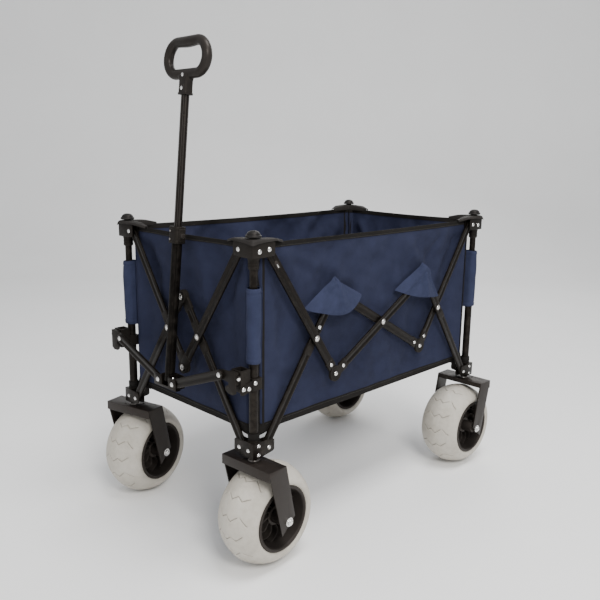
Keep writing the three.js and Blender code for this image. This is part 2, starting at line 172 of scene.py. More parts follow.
def woven(name, base, light, dark, thread=0.00095, weave_depth=0.00012, rough=0.88, sheen=0.25, twill=False):
    """Plain-weave coated polyester. UVs are in metres, so the threads have their real pitch."""
    m = Mat(name)
    f = 1.0 / thread
    uv = m.coord("UV", (f, f, f))
    sep = m.node("SeparateXYZ")
    m.link(uv, sep.inputs[0])
    su = m.math("ABSOLUTE", m.math("SINE", m.math("MULTIPLY", sep.outputs[0], math.pi)))
    sv = m.math("ABSOLUTE", m.math("SINE", m.math("MULTIPLY", sep.outputs[1], math.pi)))
    if twill:
        diag = m.math("SINE", m.math("MULTIPLY", m.math("ADD", sep.outputs[0], sep.outputs[1]), math.pi / 2))
        weave = m.math("MULTIPLY", m.math("ADD", m.math("MULTIPLY", diag, 0.5), 0.5), su)
    else:
        chk = m.node("TexChecker")
        chk.inputs["Scale"].default_value = 1.0
        chk.inputs["Color1"].default_value = (1, 1, 1, 1)
        chk.inputs["Color2"].default_value = (0, 0, 0, 1)
        m.link(uv, chk.inputs["Vector"])
        c = chk.outputs["Fac"]
        weave = m.math("ADD", m.math("MULTIPLY", su, c), m.math("MULTIPLY", sv, m.math("SUBTRACT", 1.0, c)))
    uvm = m.coord("UV")
    big = m.noise(uvm, 3.2, 3.0, 0.55, 0.4)
    mid = m.noise(uvm, 26.0, 4.0, 0.6)
    fine = m.noise(uvm, 900.0, 2.0, 0.6)
    slub_vec = m.coord("UV", (40.0, 700.0, 1.0))
    slub = m.noise(slub_vec, 1.0, 2.0, 0.5)
    tone = m.math("ADD", m.math("MULTIPLY", big, 0.55), m.math("MULTIPLY", mid, 0.45))
    col = m.ramp(tone, [(0.30, dark), (0.52, base), (0.74, light)])
    col = m.mix(m.math("MULTIPLY", m.math("SUBTRACT", 1.0, weave), 0.34), col, dark)
    col = m.mix(m.math("MULTIPLY", m.math("SUBTRACT", slub, 0.5, clamp=True), 0.8), col, light)
    h = m.math("ADD", weave, m.math("MULTIPLY", fine, 0.35))
    nrm = m.bump(h, 0.55, weave_depth)
    nrm = m.bump(mid, 0.35, 0.0014, nrm)
    m.set(Base_Color=col, Roughness=m.math("ADD", m.math("MULTIPLY", mid, 0.14), rough - 0.07),
          Sheen_Weight=sheen, Sheen_Roughness=0.45, Sheen_Tint=(*light, 1), Normal=nrm)
    m.b.inputs["Specular IOR Level"].default_value = 0.16
    return m.m


def thread_mat(name, col):
    m = Mat(name)
    v = m.coord("Object")
    n = m.noise(v, 1400.0, 2.0)
    m.set(Base_Color=m.ramp(n, [(0.3, tuple(c * 0.7 for c in col)), (0.7, col)]), Roughness=0.7, Normal=m.bump(n, 0.5, 0.0002))
    return m.m


def painted(name, base, edge, rough=0.36, wear=0.3, spec=0.13):
    """Powder coat over steel: fine orange peel, dust, rubbed edges."""
    m = Mat(name)
    v = m.coord("Object")
    peel = m.noise(v, 900.0, 2.0, 0.5)
    spot = m.noise(v, 60.0, 5.0, 0.65)
    broad = m.noise(v, 7.0, 3.0, 0.5)
    geo = m.node("NewGeometry")
    rim = m.ramp(geo.outputs["Pointiness"], [(0.50, (0, 0, 0)), (0.56, (1, 1, 1))])
    rimf = m.math("MULTIPLY", m.math("MULTIPLY", rim, m.ramp(spot, [(0.46, (0, 0, 0)), (0.62, (1, 1, 1))])), wear)
    col = m.ramp(broad, [(0.3, tuple(c * 0.86 for c in base)), (0.7, tuple(min(1, c * 1.12) for c in base))])
    scr = m.noise(m.coord("Object", (30, 30, 700)), 1.0, 2.0, 0.5)
    col = m.mix(m.math("MULTIPLY", m.ramp(scr, [(0.70, (0, 0, 0)), (0.78, (1, 1, 1))]), 0.04), col, edge)
    col = m.mix(rimf, col, edge)
    r = m.math("ADD", m.math("MULTIPLY", spot, 0.07), rough - 0.035)
    m.set(Base_Color=col, Roughness=r, Normal=m.bump(peel, 0.16, 0.0001))
    m.b.inputs["Specular IOR Level"].default_value = spec
    m.b.inputs["Specular Tint"].default_value = (1.0, 0.89, 0.80, 1)
    return m.m


def moulded(name, base, light, rough=0.5, grain=520.0, depth=0.00018):
    m = Mat(name)
    v = m.coord("Object")
    vor = m.node("TexVoronoi", feature="SMOOTH_F1")
    vor.inputs["Scale"].default_value = grain
    m.link(v, vor.inputs["Vector"])
    spot = m.noise(v, 45.0, 4.0, 0.6)
    geo = m.node("NewGeometry")
    rim = m.ramp(geo.outputs["Pointiness"], [(0.505, (0, 0, 0)), (0.575, (1, 1, 1))])
    col = m.ramp(spot, [(0.3, tuple(c * 0.85 for c in base)), (0.7, base)])
    col = m.mix(m.math("MULTIPLY", rim, 0.35), col, light)
    m.set(Base_Color=col, Roughness=m.math("ADD", m.math("MULTIPLY", spot, 0.10), rough - 0.05),
          Normal=m.bump(vor.outputs["Distance"], 0.25, depth))
    m.b.inputs["Specular IOR Level"].default_value = 0.13
    m.b.inputs["Specular Tint"].default_value = (1.0, 0.90, 0.82, 1)
    return m.m


def tyre_mat():
    m = Mat("tyre_rubber")
    v = m.coord("Object")
    broad = m.noise(v, 9.0, 4.0, 0.6, 0.3)
    mid = m.noise(v, 70.0, 5.0, 0.65)
    fine = m.noise(v, 900.0, 2.0, 0.6)
    geo = m.node("NewGeometry")
    # painted shade: concave places such as the sipes are mixed towards a dark grey
    groove_painted_shade = m.ramp(geo.outputs["Pointiness"], [(0.42, (1, 1, 1)), (0.495, (0, 0, 0))])
    col = m.ramp(m.math("ADD", m.math("MULTIPLY", broad, 0.6), m.math("MULTIPLY", mid, 0.4)),
                 [(0.32, (0.375, 0.342, 0.288)), (0.52, (0.470, 0.439, 0.382)), (0.72, (0.525, 0.497, 0.445))])
    col = m.mix(m.math("MULTIPLY", groove_painted_shade, 0.85), col, (0.20, 0.18, 0.15))
    dust = m.ramp(m.noise(v, 240.0, 4.0, 0.7), [(0.60, (0, 0, 0)), (0.74, (1, 1, 1))])
    col = m.mix(m.math("MULTIPLY", dust, 0.16), col, (0.40, 0.37, 0.33))
    nrm = m.bump(fine, 0.25, 0.0002)
    nrm = m.bump(mid, 0.3, 0.0006, nrm)
    m.set(Base_Color=col, Roughness=m.math("ADD", m.math("MULTIPLY", mid, 0.2), 0.45), Normal=nrm)
    m.b.inputs["Specular IOR Level"].default_value = 0.4
    return m.m


def metal(name, col, rough=0.24):
    m = Mat(name)
    v = m.coord("Object")
    n = m.noise(v, 700.0, 3.0, 0.6)
    s = m.noise(v, 140.0, 3.0, 0.6)
    c = m.ramp(s, [(0.25, tuple(x * 0.78 for x in col)), (0.6, col)])
    m.set(Base_Color=c, Metallic=1.0, Roughness=m.math("ADD", m.math("MULTIPLY", s, 0.2), rough - 0.08), Normal=m.bump(n, 0.2, 0.0001))
    return m.m


NAVY = woven("navy_weave", (0.0186, 0.0218, 0.0465), (0.0245, 0.029, 0.0595), (0.0108, 0.0126, 0.0278), sheen=0.12)
# lighter copy of the navy weave for the hoods and the post sleeves: painted light where those parts face the lamps
NAVY_PAINTED_LIGHTER = woven("navy_weave_painted_lighter", (0.0262, 0.0315, 0.0655), (0.034, 0.041, 0.081), (0.0155, 0.0188, 0.041), sheen=0.2)
TAPE = woven("black_webbing", (0.0085, 0.0072, 0.0062), (0.0145, 0.0125, 0.011), (0.0040, 0.0034, 0.0030), thread=0.0014, weave_depth=0.0003, rough=0.8, sheen=0.05, twill=True)
TAPE_LIGHT = woven("black_webbing_tabs", (0.022, 0.0192, 0.0175), (0.034, 0.030, 0.0275), (0.0105, 0.0092, 0.0084), thread=0.0014, weave_depth=0.0003, rough=0.7, sheen=0.15, twill=True)
PAINT = painted("black_powder_coat", (0.0046, 0.0037, 0.0031), (0.040, 0.034, 0.028), rough=0.36)
PAINT_WARM = painted("black_powder_coat_forks", (0.0118, 0.0092, 0.0081), (0.05, 0.042, 0.036), rough=0.40, wear=0.12, spec=0.24)
PAINT_DARK = painted("black_powder_coat_lower_tube", (0.0020, 0.0017, 0.0015), (0.03, 0.026, 0.022), rough=0.42, spec=0.07)
PAINT_GLOSS = painted("black_powder_coat_stem", (0.0105, 0.0090, 0.0082), (0.04, 0.034, 0.03), rough=0.28, spec=0.5)
PLASTIC = moulded("black_nylon", (0.0066, 0.0055, 0.0048), (0.024, 0.021, 0.018))
PLASTIC_CAP = moulded("cap_plastic", (0.0105, 0.0100, 0.0100), (0.030, 0.029, 0.028), rough=0.42)
RIM_PLASTIC = moulded("rim_plastic", (0.0205, 0.0174, 0.0155), (0.056, 0.048, 0.043), rough=0.42)
GRIP_PLASTIC = moulded("grip_plastic", (0.0190, 0.0165, 0.0150), (0.046, 0.041, 0.037), rough=0.33, grain=700.0)
TYRE = tyre_mat()
ZINC = metal("zinc_rivet", (0.80, 0.79, 0.77), 0.20)
STEEL_DARK = metal("dark_spindle", (0.40, 0.375, 0.355), 0.32)
THREAD = thread_mat("navy_thread", (0.055, 0.066, 0.115))
THREAD_BLACK = thread_mat("black_thread", (0.035, 0.033, 0.031))

# ------------------------------------------------------------------ mesh primitives (mm)
# A primitive is (vertices n x 3, faces, uvs per vertex or None)


def xf(prim, M):
    v, f, uv = prim
    h = np.c_[v, np.ones(len(v))] @ np.array(M, float).T
    f2 = f
    if Matrix(M).to_3x3().determinant() < 0:
        f2 = [tuple(reversed(q)) for q in f]
    return h[:, :3], f2, uv


def lathe(profile, n=32, axis="z", centre=(0, 0, 0)):
    """profile: (r, a) points along the outside; it starts and ends on the axis, or closes on itself."""
    pts = [tuple(p) for p in profile]
    closed = pts[0][0] > 1e-6 and pts[-1][0] > 1e-6
    verts, faces, rings = [], [], []
    for r, a in pts:
        if r < 1e-6:
            rings.append([len(verts)])
            verts.append((0, 0, a))
        else:
            rings.append(list(range(len(verts), len(verts) + n)))
            for i in range(n):
                t = 2 * math.pi * i / n
                verts.append((r * math.cos(t), r * math.sin(t), a))
    pairs = list(zip(rings, rings[1:]))
    if closed:
        pairs.append((rings[-1], rings[0]))
    for A, B in pairs:
        for i in range(n):
            j = (i + 1) % n
            if len(A) == 1 and len(B) == 1:
                continue
            if len(A) == 1:
                faces.append((A[0], B[j], B[i]))
            elif len(B) == 1:
                faces.append((A[i], A[j], B[0]))
            else:
                faces.append((A[i], A[j], B[j], B[i]))
    v = np.array(verts, float)
    if axis == "y":
        v = v[:, [1, 2, 0]]
    elif axis == "x":
        v = v[:, [2, 0, 1]]
    v = v + np.array(centre, float)
    return outward((v, faces, None))


def outward(prim):
    """Turns a closed primitive's faces outwards."""
    v, f, uv = prim
    vol = 0.0
    for q in f:
        a = v[q[0]]
        for i in range(1, len(q) - 1):
            vol += np.dot(a, np.cross(v[q[i]], v[q[i + 1]]))
    if vol < 0:
        f = [tuple(reversed(q)) for q in f]
    return v, f, uv


def prism(points, plane, t0, t1, bevel=0.0, segs=2):
    """Extruded outline: plane xz runs along y, yz along x, xy along z."""
    n = len(points)
    verts = []
    for t in (t0, t1):
        for a, b in points:
            verts.append({"xz": (a, t, b), "yz": (t, a, b), "xy": (a, b, t)}[plane])
    faces = [tuple(range(n)), tuple(range(2 * n - 1, n - 1, -1))]
    faces += [(i, i + n, (i + 1) % n + n, (i + 1) % n) for i in range(n)]
    prim = outward((np.array(verts, float), faces, None))
    return bevelled(prim, bevel, segs) if bevel else prim


def box(x0, x1, y0, y1, z0, z1, bevel=0.0, segs=2):
    return prism([(x0, y0), (x1, y0), (x1, y1), (x0, y1)], "xy", z0, z1, bevel, segs)


def to_bm(prim):
    bm = bmesh.new()
    vs = [bm.verts.new(p) for p in prim[0]]
    for q in prim[1]:
        try:
            bm.faces.new([vs[i] for i in q])
        except ValueError:
            pass
    return bm


def from_bm(bm):
    bm.verts.index_update()
    v = np.array([p.co[:] for p in bm.verts], float).reshape(-1, 3)
    f = [tuple(x.index for x in q.verts) for q in bm.faces]
    bm.free()
    return v, f, None


def bevelled(prim, width, segs=2, angle=32):
    bm = to_bm(prim)
    bmesh.ops.remove_doubles(bm, verts=bm.verts, dist=1e-4)
    bmesh.ops.recalc_face_normals(bm, faces=bm.faces)
    lim = math.radians(angle)
    edges = [e for e in bm.edges if len(e.link_faces) == 2 and e.calc_face_angle(0.0) > lim]
    bmesh.ops.bevel(bm, geom=edges, offset=width, offset_type="OFFSET", segments=segs, profile=0.5,
                    affect="EDGES", clamp_overlap=True, loop_slide=True)
    return from_bm(bm)


def cad(node, width=0.9, segs=2, angle=38, keep=None):
    """A softened copy of a CAD node's solid, in mm. keep(x, y, z) limits it to the part above a plane."""
    bm = bmesh.new()
    bm.from_mesh(NODES[node].data)
    bmesh.ops.scale(bm, vec=(1000, 1000, 1000), verts=bm.verts)
    bmesh.ops.remove_doubles(bm, verts=bm.verts, dist=2e-3)
    if keep:
        for point, normal in keep:
            geom = list(bm.verts) + list(bm.edges) + list(bm.faces)
            bmesh.ops.bisect_plane(bm, geom=geom, plane_co=point, plane_no=normal, clear_outer=True, clear_inner=False)
            edges = [e for e in bm.edges if e.is_boundary]
            bmesh.ops.holes_fill(bm, edges=edges, sides=0)
    bmesh.ops.dissolve_limit(bm, angle_limit=math.radians(1.0), verts=bm.verts, edges=bm.edges)
    bmesh.ops.recalc_face_normals(bm, faces=bm.faces)
    lim = math.radians(angle)
    edges = [e for e in bm.edges if len(e.link_faces) == 2 and e.calc_face_angle(0.0) > lim]
    bmesh.ops.bevel(bm, geom=edges, offset=width, offset_type="OFFSET", segments=segs, profile=0.5,
                    affect="EDGES", clamp_overlap=True, loop_slide=True)
    bmesh.ops.triangulate(bm, faces=[f for f in bm.faces if len(f.verts) > 4])
    return from_bm(bm)


def arc(cu, cz, r, a0, a1, n):
    return [(cu + r * math.cos(a0 + (a1 - a0) * i / n), cz + r * math.sin(a0 + (a1 - a0) * i / n)) for i in range(n + 1)]


def rounded_rect(w, h, r, n=4, cx=0.0, cy=0.0):
    out = []
    for sx, sy, a in ((1, -1, -math.pi / 2), (1, 1, 0), (-1, 1, math.pi / 2), (-1, -1, math.pi)):
        out += arc(cx + sx * (w / 2 - r), cy + sy * (h / 2 - r), r, a, a + math.pi / 2, n)
    return out


def sweep(path, section, up=(0, 0, 1), closed=False, scale=None, uvs=False):
    """Section (a, b) points swept along path: a along the side direction, b along up."""
    path = np.array(path, float)
    n, m = len(path), len(section)
    sec = np.array(section, float)
    verts = np.zeros((n * m, 3))
    upv = np.array(up, float)
    for i in range(n):
        if closed:
            t = path[(i + 1) % n] - path[(i - 1) % n]
        else:
            t = path[min(i + 1, n - 1)] - path[max(i - 1, 0)]
        t = t / np.linalg.norm(t)
        u0 = upv[i] if upv.ndim == 2 else upv
        side = np.cross(t, u0)
        side = side / np.linalg.norm(side)
        u = np.cross(side, t)
        k = np.array([1.0, 1.0]) if scale is None else np.array(scale[i] if np.ndim(scale[i]) else (scale[i], scale[i]), float)
        verts[i * m:(i + 1) * m] = path[i] + np.outer(sec[:, 0] * k[0], side) + np.outer(sec[:, 1] * k[1], u)
    faces = []
    rng_ = n if closed else n - 1
    for i in range(rng_):
        a, b = i * m, ((i + 1) % n) * m
        for j in range(m):
            k = (j + 1) % m
            faces.append((a + j, b + j, b + k, a + k))
    if not closed:
        faces.append(tuple(range(m - 1, -1, -1)))
        faces.append(tuple(range((n - 1) * m, n * m)))
    uv = None
    if uvs:
        ln = np.r_[0, np.cumsum(np.linalg.norm(np.diff(path, axis=0), axis=1))]
        sl = np.r_[0, np.cumsum(np.linalg.norm(np.diff(sec, axis=0), axis=1))]
        uv = np.array([(ln[i] * MM, sl[j] * MM) for i in range(n) for j in range(m)])
    return outward((verts, faces, uv))


def cloth(grid, thick=0.8, uv=None):
    """A closed thin sheet from a grid of points (nu x nv x 3): the grid is its outer face."""
    g = np.array(grid, float)
    nu, nv = g.shape[:2]
    du, dv = np.gradient(g, axis=0), np.gradient(g, axis=1)
    nrm = np.cross(du, dv)
    ln = np.linalg.norm(nrm, axis=2, keepdims=True)
    nrm = nrm / np.maximum(ln, 1e-9)
    back = g - nrm * thick
    v = np.concatenate([g.reshape(-1, 3), back.reshape(-1, 3)])
    if uv is None:
        su = np.concatenate([np.zeros((1, nv)), np.cumsum(np.linalg.norm(np.diff(g, axis=0), axis=2), axis=0)])
        sv = np.concatenate([np.zeros((nu, 1)), np.cumsum(np.linalg.norm(np.diff(g, axis=1), axis=2), axis=1)], axis=1)
        uv = np.stack([su, sv], axis=2) * MM
    uvv = np.concatenate([uv.reshape(-1, 2), uv.reshape(-1, 2)])
    idx = np.arange(nu * nv).reshape(nu, nv)
    off = nu * nv
    f = []
    for i in range(nu - 1):
        for j in range(nv - 1):
            a, b, c, d = idx[i, j], idx[i + 1, j], idx[i + 1, j + 1], idx[i, j + 1]
            f.append((a, b, c, d))
            f.append((a + off, d + off, c + off, b + off))
    rim = [idx[i, 0] for i in range(nu)] + [idx[-1, j] for j in range(1, nv)] \
        + [idx[i, -1] for i in range(nu - 2, -1, -1)] + [idx[0, j] for j in range(nv - 2, 0, -1)]
    for k in range(len(rim)):
        a, b = rim[k], rim[(k + 1) % len(rim)]
        f.append((b, a, a + off, b + off))
    return outward((v, [tuple(int(x) for x in q) for q in f], uvv))


def flat_of(grid):
    """Flat size of a cloth grid in metres: (along u, along v) and area."""
    g = np.array(grid, float)
    a = np.linalg.norm(np.diff(g, axis=0), axis=2).sum(0).max() * MM
    b = np.linalg.norm(np.diff(g, axis=1), axis=2).sum(1).max() * MM
    d1, d2 = g[1:, :-1] - g[:-1, :-1], g[:-1, 1:] - g[:-1, :-1]
    area = np.linalg.norm(np.cross(d1, d2), axis=2).sum() * MM * MM
    return float(a), float(b), float(min(area, a * b))


def piece(name, parts, body, replaces=(), smooth=34, squash=None):
    """One object from primitives (primitive, material), riding on a body."""
    V, F, MI, UV, mats = [], [], [], [], []
    off = 0
    for prim, mat in parts:
        v, f, uv = prim
        if mat not in mats:
            mats.append(mat)
        k = mats.index(mat)
        V.append(np.asarray(v, float) * MM)
        F += [tuple(i + off for i in q) for q in f]
        MI += [k] * len(f)
        UV.append(np.asarray(uv, float) if uv is not None else np.asarray(v, float)[:, [0, 2]] * MM)
        off += len(v)
    V, UV = np.concatenate(V), np.concatenate(UV)
    me = bpy.data.meshes.new(name)
    me.from_pydata([tuple(p) for p in V], [], F)
    for m in mats:
        me.materials.append(m)
    me.polygons.foreach_set("material_index", MI)
    layer = me.uv_layers.new(name="UVMap")
    li = np.zeros(len(me.loops), np.int32)
    me.loops.foreach_get("vertex_index", li)
    layer.data.foreach_set("uv", UV[li].astype(np.float32).ravel())
    me.polygons.foreach_set("use_smooth", [True] * len(me.polygons))
    me.validate()
    me.set_sharp_from_angle(angle=math.radians(smooth))
    me.update()
    ob = bpy.data.objects.new(name, me)
    bpy.context.scene.collection.objects.link(ob)
    if squash:
        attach(ob, body)
        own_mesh(ob)
    else:
        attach(ob, body)
    if replaces:
        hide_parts(*replaces)
    return ob


def rivet(p, axis, r=5.8, h=2.7, flip=1, n=20):
    """Domed rivet head standing on point p, pointing along +axis or -axis."""
    prof = [(0, -1.2), (r - 1.2, -1.2), (r, -0.9), (r, 0.35), (r - 0.35, 0.75), (r * 0.86, h * 0.52), (r * 0.64, h * 0.82),
            (r * 0.42, h * 0.96), (r * 0.30, h), (r * 0.22, h * 0.86), (0, h * 0.80)]
    prof = [(a, b * flip) for a, b in prof]
    return lathe(prof, n, axis, p)


def hexnut(p, axis, flip=1, r=9.2, h=5.6):
    """Hexagon nut with chamfered corners, a washer under it and a domed end."""
    out = []
    w = lathe([(0, 0), (r + 2.4, 0), (r + 2.4, 1.0 * flip), (r + 1.6, 1.3 * flip), (0, 1.3 * flip)], 28, axis, p)
    out.append(w)
    pts = [(r * math.cos(math.pi / 6 + k * math.pi / 3), r * math.sin(math.pi / 6 + k * math.pi / 3)) for k in range(6)]
    a0, a1 = 1.2 * flip, h * flip
    if axis == "y":
        q = prism([(p[0] + a, p[2] + b) for a, b in pts], "xz", p[1] + min(a0, a1), p[1] + max(a0, a1), 0.8, 2)
    elif axis == "x":
        q = prism([(p[1] + a, p[2] + b) for a, b in pts], "yz", p[0] + min(a0, a1), p[0] + max(a0, a1), 0.8, 2)
    out.append(q)
    out.append(lathe([(0, (h - 1) * flip), (5, (h - 1) * flip), (5, (h + 1.0) * flip), (3.6, (h + 2.4) * flip), (0, (h + 2.8) * flip)], 20, axis, p))
    return out


# ------------------------------------------------------------------ scissor bars
BAR_W = 24.2


def bar_section(t0, t1, side):
    """Pressed channel: rounded long edges and a shallow groove along the outer face. (across, thickness)."""
    w = BAR_W / 2
    lo, hi = t0, t1
    r = 2.2
    g, d = 3.4, 0.9
    pts = []
    pts += arc(w - r, lo + r, r, -math.pi / 2, 0, 4)
    pts += arc(w - r, hi - r, r, 0, math.pi / 2, 4)
    pts += [(g + 1.0, hi), (g, hi - d * 0.55), (g - 0.9, hi - d), (-(g - 0.9), hi - d), (-g, hi - d * 0.55), (-(g + 1.0), hi)]
    pts += arc(-w + r, hi - r, r, math.pi / 2, math.pi, 4)
    pts += arc(-w + r, lo + r, r, math.pi, 3 * math.pi / 2, 4)
    return pts


def bar_prim(plane, side, p0, p1, layer, cut0, cut1, slotted=False):
    """The steel bar. Coordinates in its plane; thickness measured outwards from the post plane."""
    base = side * (POST_Y if plane == "xz" else POST_X)
    p0, p1 = np.array(p0, float), np.array(p1, float)
    d = p1 - p0
    L = np.linalg.norm(d)
    d = d / L
    nrm = np.array([-d[1], d[0]])
    sec = np.array(bar_section(layer[0], layer[1], side))
    w = BAR_W / 2
    stations = []
    if cut0 is None:                               # round end beyond the pivot
        for k in range(7):
            a = math.pi / 2 * k / 6
            stations.append((-w * math.cos(a) * 0.98, max(0.10, math.sin(a))))
    else:
        stations.append((cut0, 1.0))
    s0, s1 = stations[-1][0], (L if cut1 is None else L - cut1)
    for k in range(1, 8):
        stations.append((s0 + (s1 - s0) * k / 8, 1.0))
    if cut1 is None:
        for k in range(7):
            a = math.pi / 2 * (1 - k / 6)
            stations.append((L + w * math.cos(a) * 0.98, max(0.10, math.sin(a))))
    else:
        stations.append((s1, 1.0))
    verts, m = [], len(sec)
    for s, k in stations:
        for a, t in sec:
            q = p0 + d * s + nrm * a * k
            if plane == "xz":
                verts.append((q[0], base + side * t, q[1]))
            else:
                verts.append((base + side * t, q[0], q[1]))
    faces = []
    for i in range(len(stations) - 1):
        a, b = i * m, (i + 1) * m
        for j in range(m):
            k = (j + 1) % m
            faces.append((a + j, b + j, b + k, a + k))
    faces.append(tuple(range(m)))
    faces.append(tuple(range((len(stations) - 1) * m, len(stations) * m)))
    return outward((np.array(verts), faces, None))


def place(plane, side, u, z, t):
    """A point in the bar plane, t mm outside the post plane."""
    return (u, side * (POST_Y + t), z) if plane == "xz" else (side * (POST_X + t), u, z)


def plate(plane, side, outline, t0, t1, bevel=0.5, segs=2):
    base = side * (POST_Y if plane == "xz" else POST_X)
    a, b = base + side * t0, base + side * t1
    return prism(outline, plane, min(a, b), max(a, b), bevel, segs)


def disc(plane, side, u, z, t0, t1, r=20.4):
    """Moulded joint disc with a raised ring on its outer face."""
    base = side * (POST_Y if plane == "xz" else POST_X)
    ax = "y" if plane == "xz" else "x"
    h = t1 - t0
    prof = [(0, t0), (r - 0.6, t0), (r, t0 + 0.6), (r, t1 - 0.7), (r - 0.7, t1), (r - 3.0, t1), (r - 3.6, t1 - 0.55), (8.6, t1 - 0.55), (8.0, t1), (0, t1)]
    prof = [(a, b * side) for a, b in prof]
    c = (u, base, z) if plane == "xz" else (base, u, z)
    return lathe(prof, 40, ax, c)


def bar_frame(p0, p1):
    d = np.array(p1, float) - np.array(p0, float)
    L = np.linalg.norm(d)
    return d / L, L


def strip(p0, p1, s0, s1, w, r=2.0):
    """Outline of a rectangle that runs along p0-p1 from s0 to s1, with rounded corners."""
    d, L = bar_frame(p0, p1)
    n = np.array([-d[1], d[0]])
    c = np.array(p0, float) + d * (s0 + s1) / 2
    pts = rounded_rect(abs(s1 - s0), 2 * w, r, 3)
    return [tuple(c + d * a + n * b) for a, b in pts]


def end_fitting(plane, side, p, q, layer, which):
    """Plastic end: half-thickness disc on the joint and a socket that holds the bar. p is the joint, q the other end."""
    lo, hi = layer
    mid = (lo + hi) / 2
    h0, h1 = (mid + 0.15, hi) if which == "outer" else (lo, mid - 0.15)
    out = [disc(plane, side, p[0], p[1], h0, h1)]
    out.append(plate(plane, side, strip(p, q, 0, 26, 12.6, 1.5), h0 + 0.02, h1 - 0.02, 0.4, 1))
    out.append(plate(plane, side, strip(p, q, 22.5, 44, 13.2, 2.2), lo - 0.12, hi + 0.18, 0.9, 2))
    out.append(plate(plane, side, strip(p, q, 39.5, 45.5, 13.6, 1.4), lo - 0.16, hi + 0.2, 0.8, 1))
    return out


bar_bodies = {}


def add_bar(name, plane, side, p0, p1, layer, ends, heads=(), saddles=(), slotted=False, capped=0, studs=()):
    """ends: None for a round end held in a hub, or inner/outer. heads: (u, z) rivets on the outer face.
    saddles: distances along the bar where a plastic spacer is clipped on."""
    c0 = None if ends[0] is None else 26.0
    c1 = None if ends[1] is None else 26.0
    parts = [(bar_prim(plane, side, p0, p1, layer, c0, c1), PAINT)]
    d, L = bar_frame(p0, p1)
    ax = "y" if plane == "xz" else "x"
    for k, (p, q) in enumerate(((p0, p1), (p1, p0))):
        if ends[k] is not None:
            parts += [(e, PLASTIC) for e in end_fitting(plane, side, p, q, layer, ends[k])]
            dd, _ = bar_frame(p, q)
            at = np.array(p, float) + dd * 32.0
            parts.append((rivet(place(plane, side, at[0], at[1], layer[1] + 0.2), ax, 5.0, 2.4, side), ZINC))
            if ends[k] == "outer":
                parts.append((rivet(place(plane, side, p[0], p[1], layer[1]), ax, 5.9, 2.8, side), ZINC))
    for u, z in heads:
        base = layer[1]
        parts.append((lathe([(0, side * (base - 0.2)), (8.2, side * (base - 0.2)), (8.2, side * (base + 0.35)), (7.6, side * (base + 0.6)), (0, side * (base + 0.6))], 28, ax,
                            (u, side * POST_Y, z) if plane == "xz" else (side * POST_X, u, z)), STEEL_DARK))
        parts.append((rivet(place(plane, side, u, z, base + 0.5), ax, 5.9, 2.8, side), ZINC))
    for s in saddles:
        parts.append((plate(plane, side, strip(p0, p1, s - 14, s + 14, 12.4, 2.0), layer[0] - 0.1, layer[1] + 0.25, 0.8, 2), PLASTIC))
        parts.append((plate(plane, side, strip(p0, p1, s - 8.5, s + 8.5, 8.2, 1.5), layer[1], layer[1] + 0.38, 0.18, 1), PLASTIC))
    for s_ in studs:
        at_ = np.array(p0, float) + d * s_
        parts.append((rivet(place(plane, side, at_[0], at_[1], layer[1] - 0.3), ax, 5.2, 0.5, side), ZINC))
    if capped:
        # moulded end cap: an eye round the pivot and a socket over the bar's end
        parts.append((disc(plane, side, p1[0], p1[1], layer[0] - 0.05, layer[1] + 0.1, 16.4), PLASTIC))
        parts.append((plate(plane, side, strip(p1, p0, 6, 38, 13.3, 3.0), layer[0] - 0.1, layer[1] + 0.2, 0.9, 2), PLASTIC))
        parts.append((plate(plane, side, strip(p1, p0, 34, 40, 13.8, 1.6), layer[0] - 0.15, layer[1] + 0.25, 0.8, 1), PLASTIC))
    if slotted:
        parts.append((plate(plane, side, strip(p0, p1, 34, 55, 4.6, 4.3), layer[1] - 1.0, layer[1] + 0.25, 0.2, 1), RIM_PLASTIC))
        parts.append((plate(plane, side, strip(p0, p1, 43, 53, 1.5, 1.3), layer[1] - 0.9, layer[1] + 0.7, 0.4, 2), ZINC))
    return piece(f"{name}.steel", parts, name, [name])


for side_name, s in (("left", 1), ("right", -1)):
    n = side_name + "_"
    add_bar(n + "inner_bar_front", "xz", s, (X_HUB, Z_LOW), (X_J, Z_T), LAYER_A, (None, "outer"), saddles=(P - 32,), studs=(P + 29,))
    add_bar(n + "inner_bar_middle", "xz", s, (X_J, Z_T), (-X_J, Z_J), LAYER_A, ("inner", "inner"))
    add_bar(n + "inner_bar_rear", "xz", s, (-X_J, Z_J), (-X_HUB, Z_TOP), LAYER_A, ("outer", None))
    add_bar(n + "outer_bar_front", "xz", s, (X_HUB, Z_TOP), (X_J, Z_J), LAYER_B, (None, "inner"), heads=[(X_C, Z_MID)], slotted=True)
    add_bar(n + "outer_bar_middle", "xz", s, (X_J, Z_J), (-X_J, Z_T), LAYER_B, ("outer", "inner"), heads=[(0, Z_MID)])
    add_bar(n + "outer_bar_rear", "xz", s, (-X_J, Z_T), (-X_HUB, Z_LOW), LAYER_B, ("outer", None), heads=[(-X_C, Z_MID)], saddles=(Q_SIDE + 30,))
LE = P + Q_END
for end, s in (("front", 1), ("rear", -1)):
    n = end + "_"
    add_bar(n + "inner_bar_left", "yz", s, (Y_HUB, Z_LOW), (0, Z_A), LAYER_A, (None, None), saddles=(P - 30, P + 26), capped=1)
    add_bar(n + "outer_bar_left", "yz", s, (Y_HUB, Z_TOP), (0, Z_V), LAYER_B, (None, None), heads=[(Y_C, Z_MID), (0, Z_V)], capped=1)
    add_bar(n + "outer_bar_right", "yz", s, (-Y_HUB, Z_LOW), (0, Z_A), LAYER_B, (None, None), heads=[(-Y_C, Z_MID), (0, Z_A)], capped=1)
    add_bar(n + "inner_bar_right", "yz", s, (-Y_HUB, Z_TOP), (0, Z_V), LAYER_A, (None, None), saddles=(P - 30,), capped=1)


# ------------------------------------------------------------------ posts, hubs and caps
def ring(r0, r1, z0, z1, b=0.6, n=32, centre=(0, 0, 0)):
    return lathe([(r0, z0), (r1 - b, z0), (r1, z0 + b), (r1, z1 - b), (r1 - b, z1), (r0, z1)], n, "z", centre)


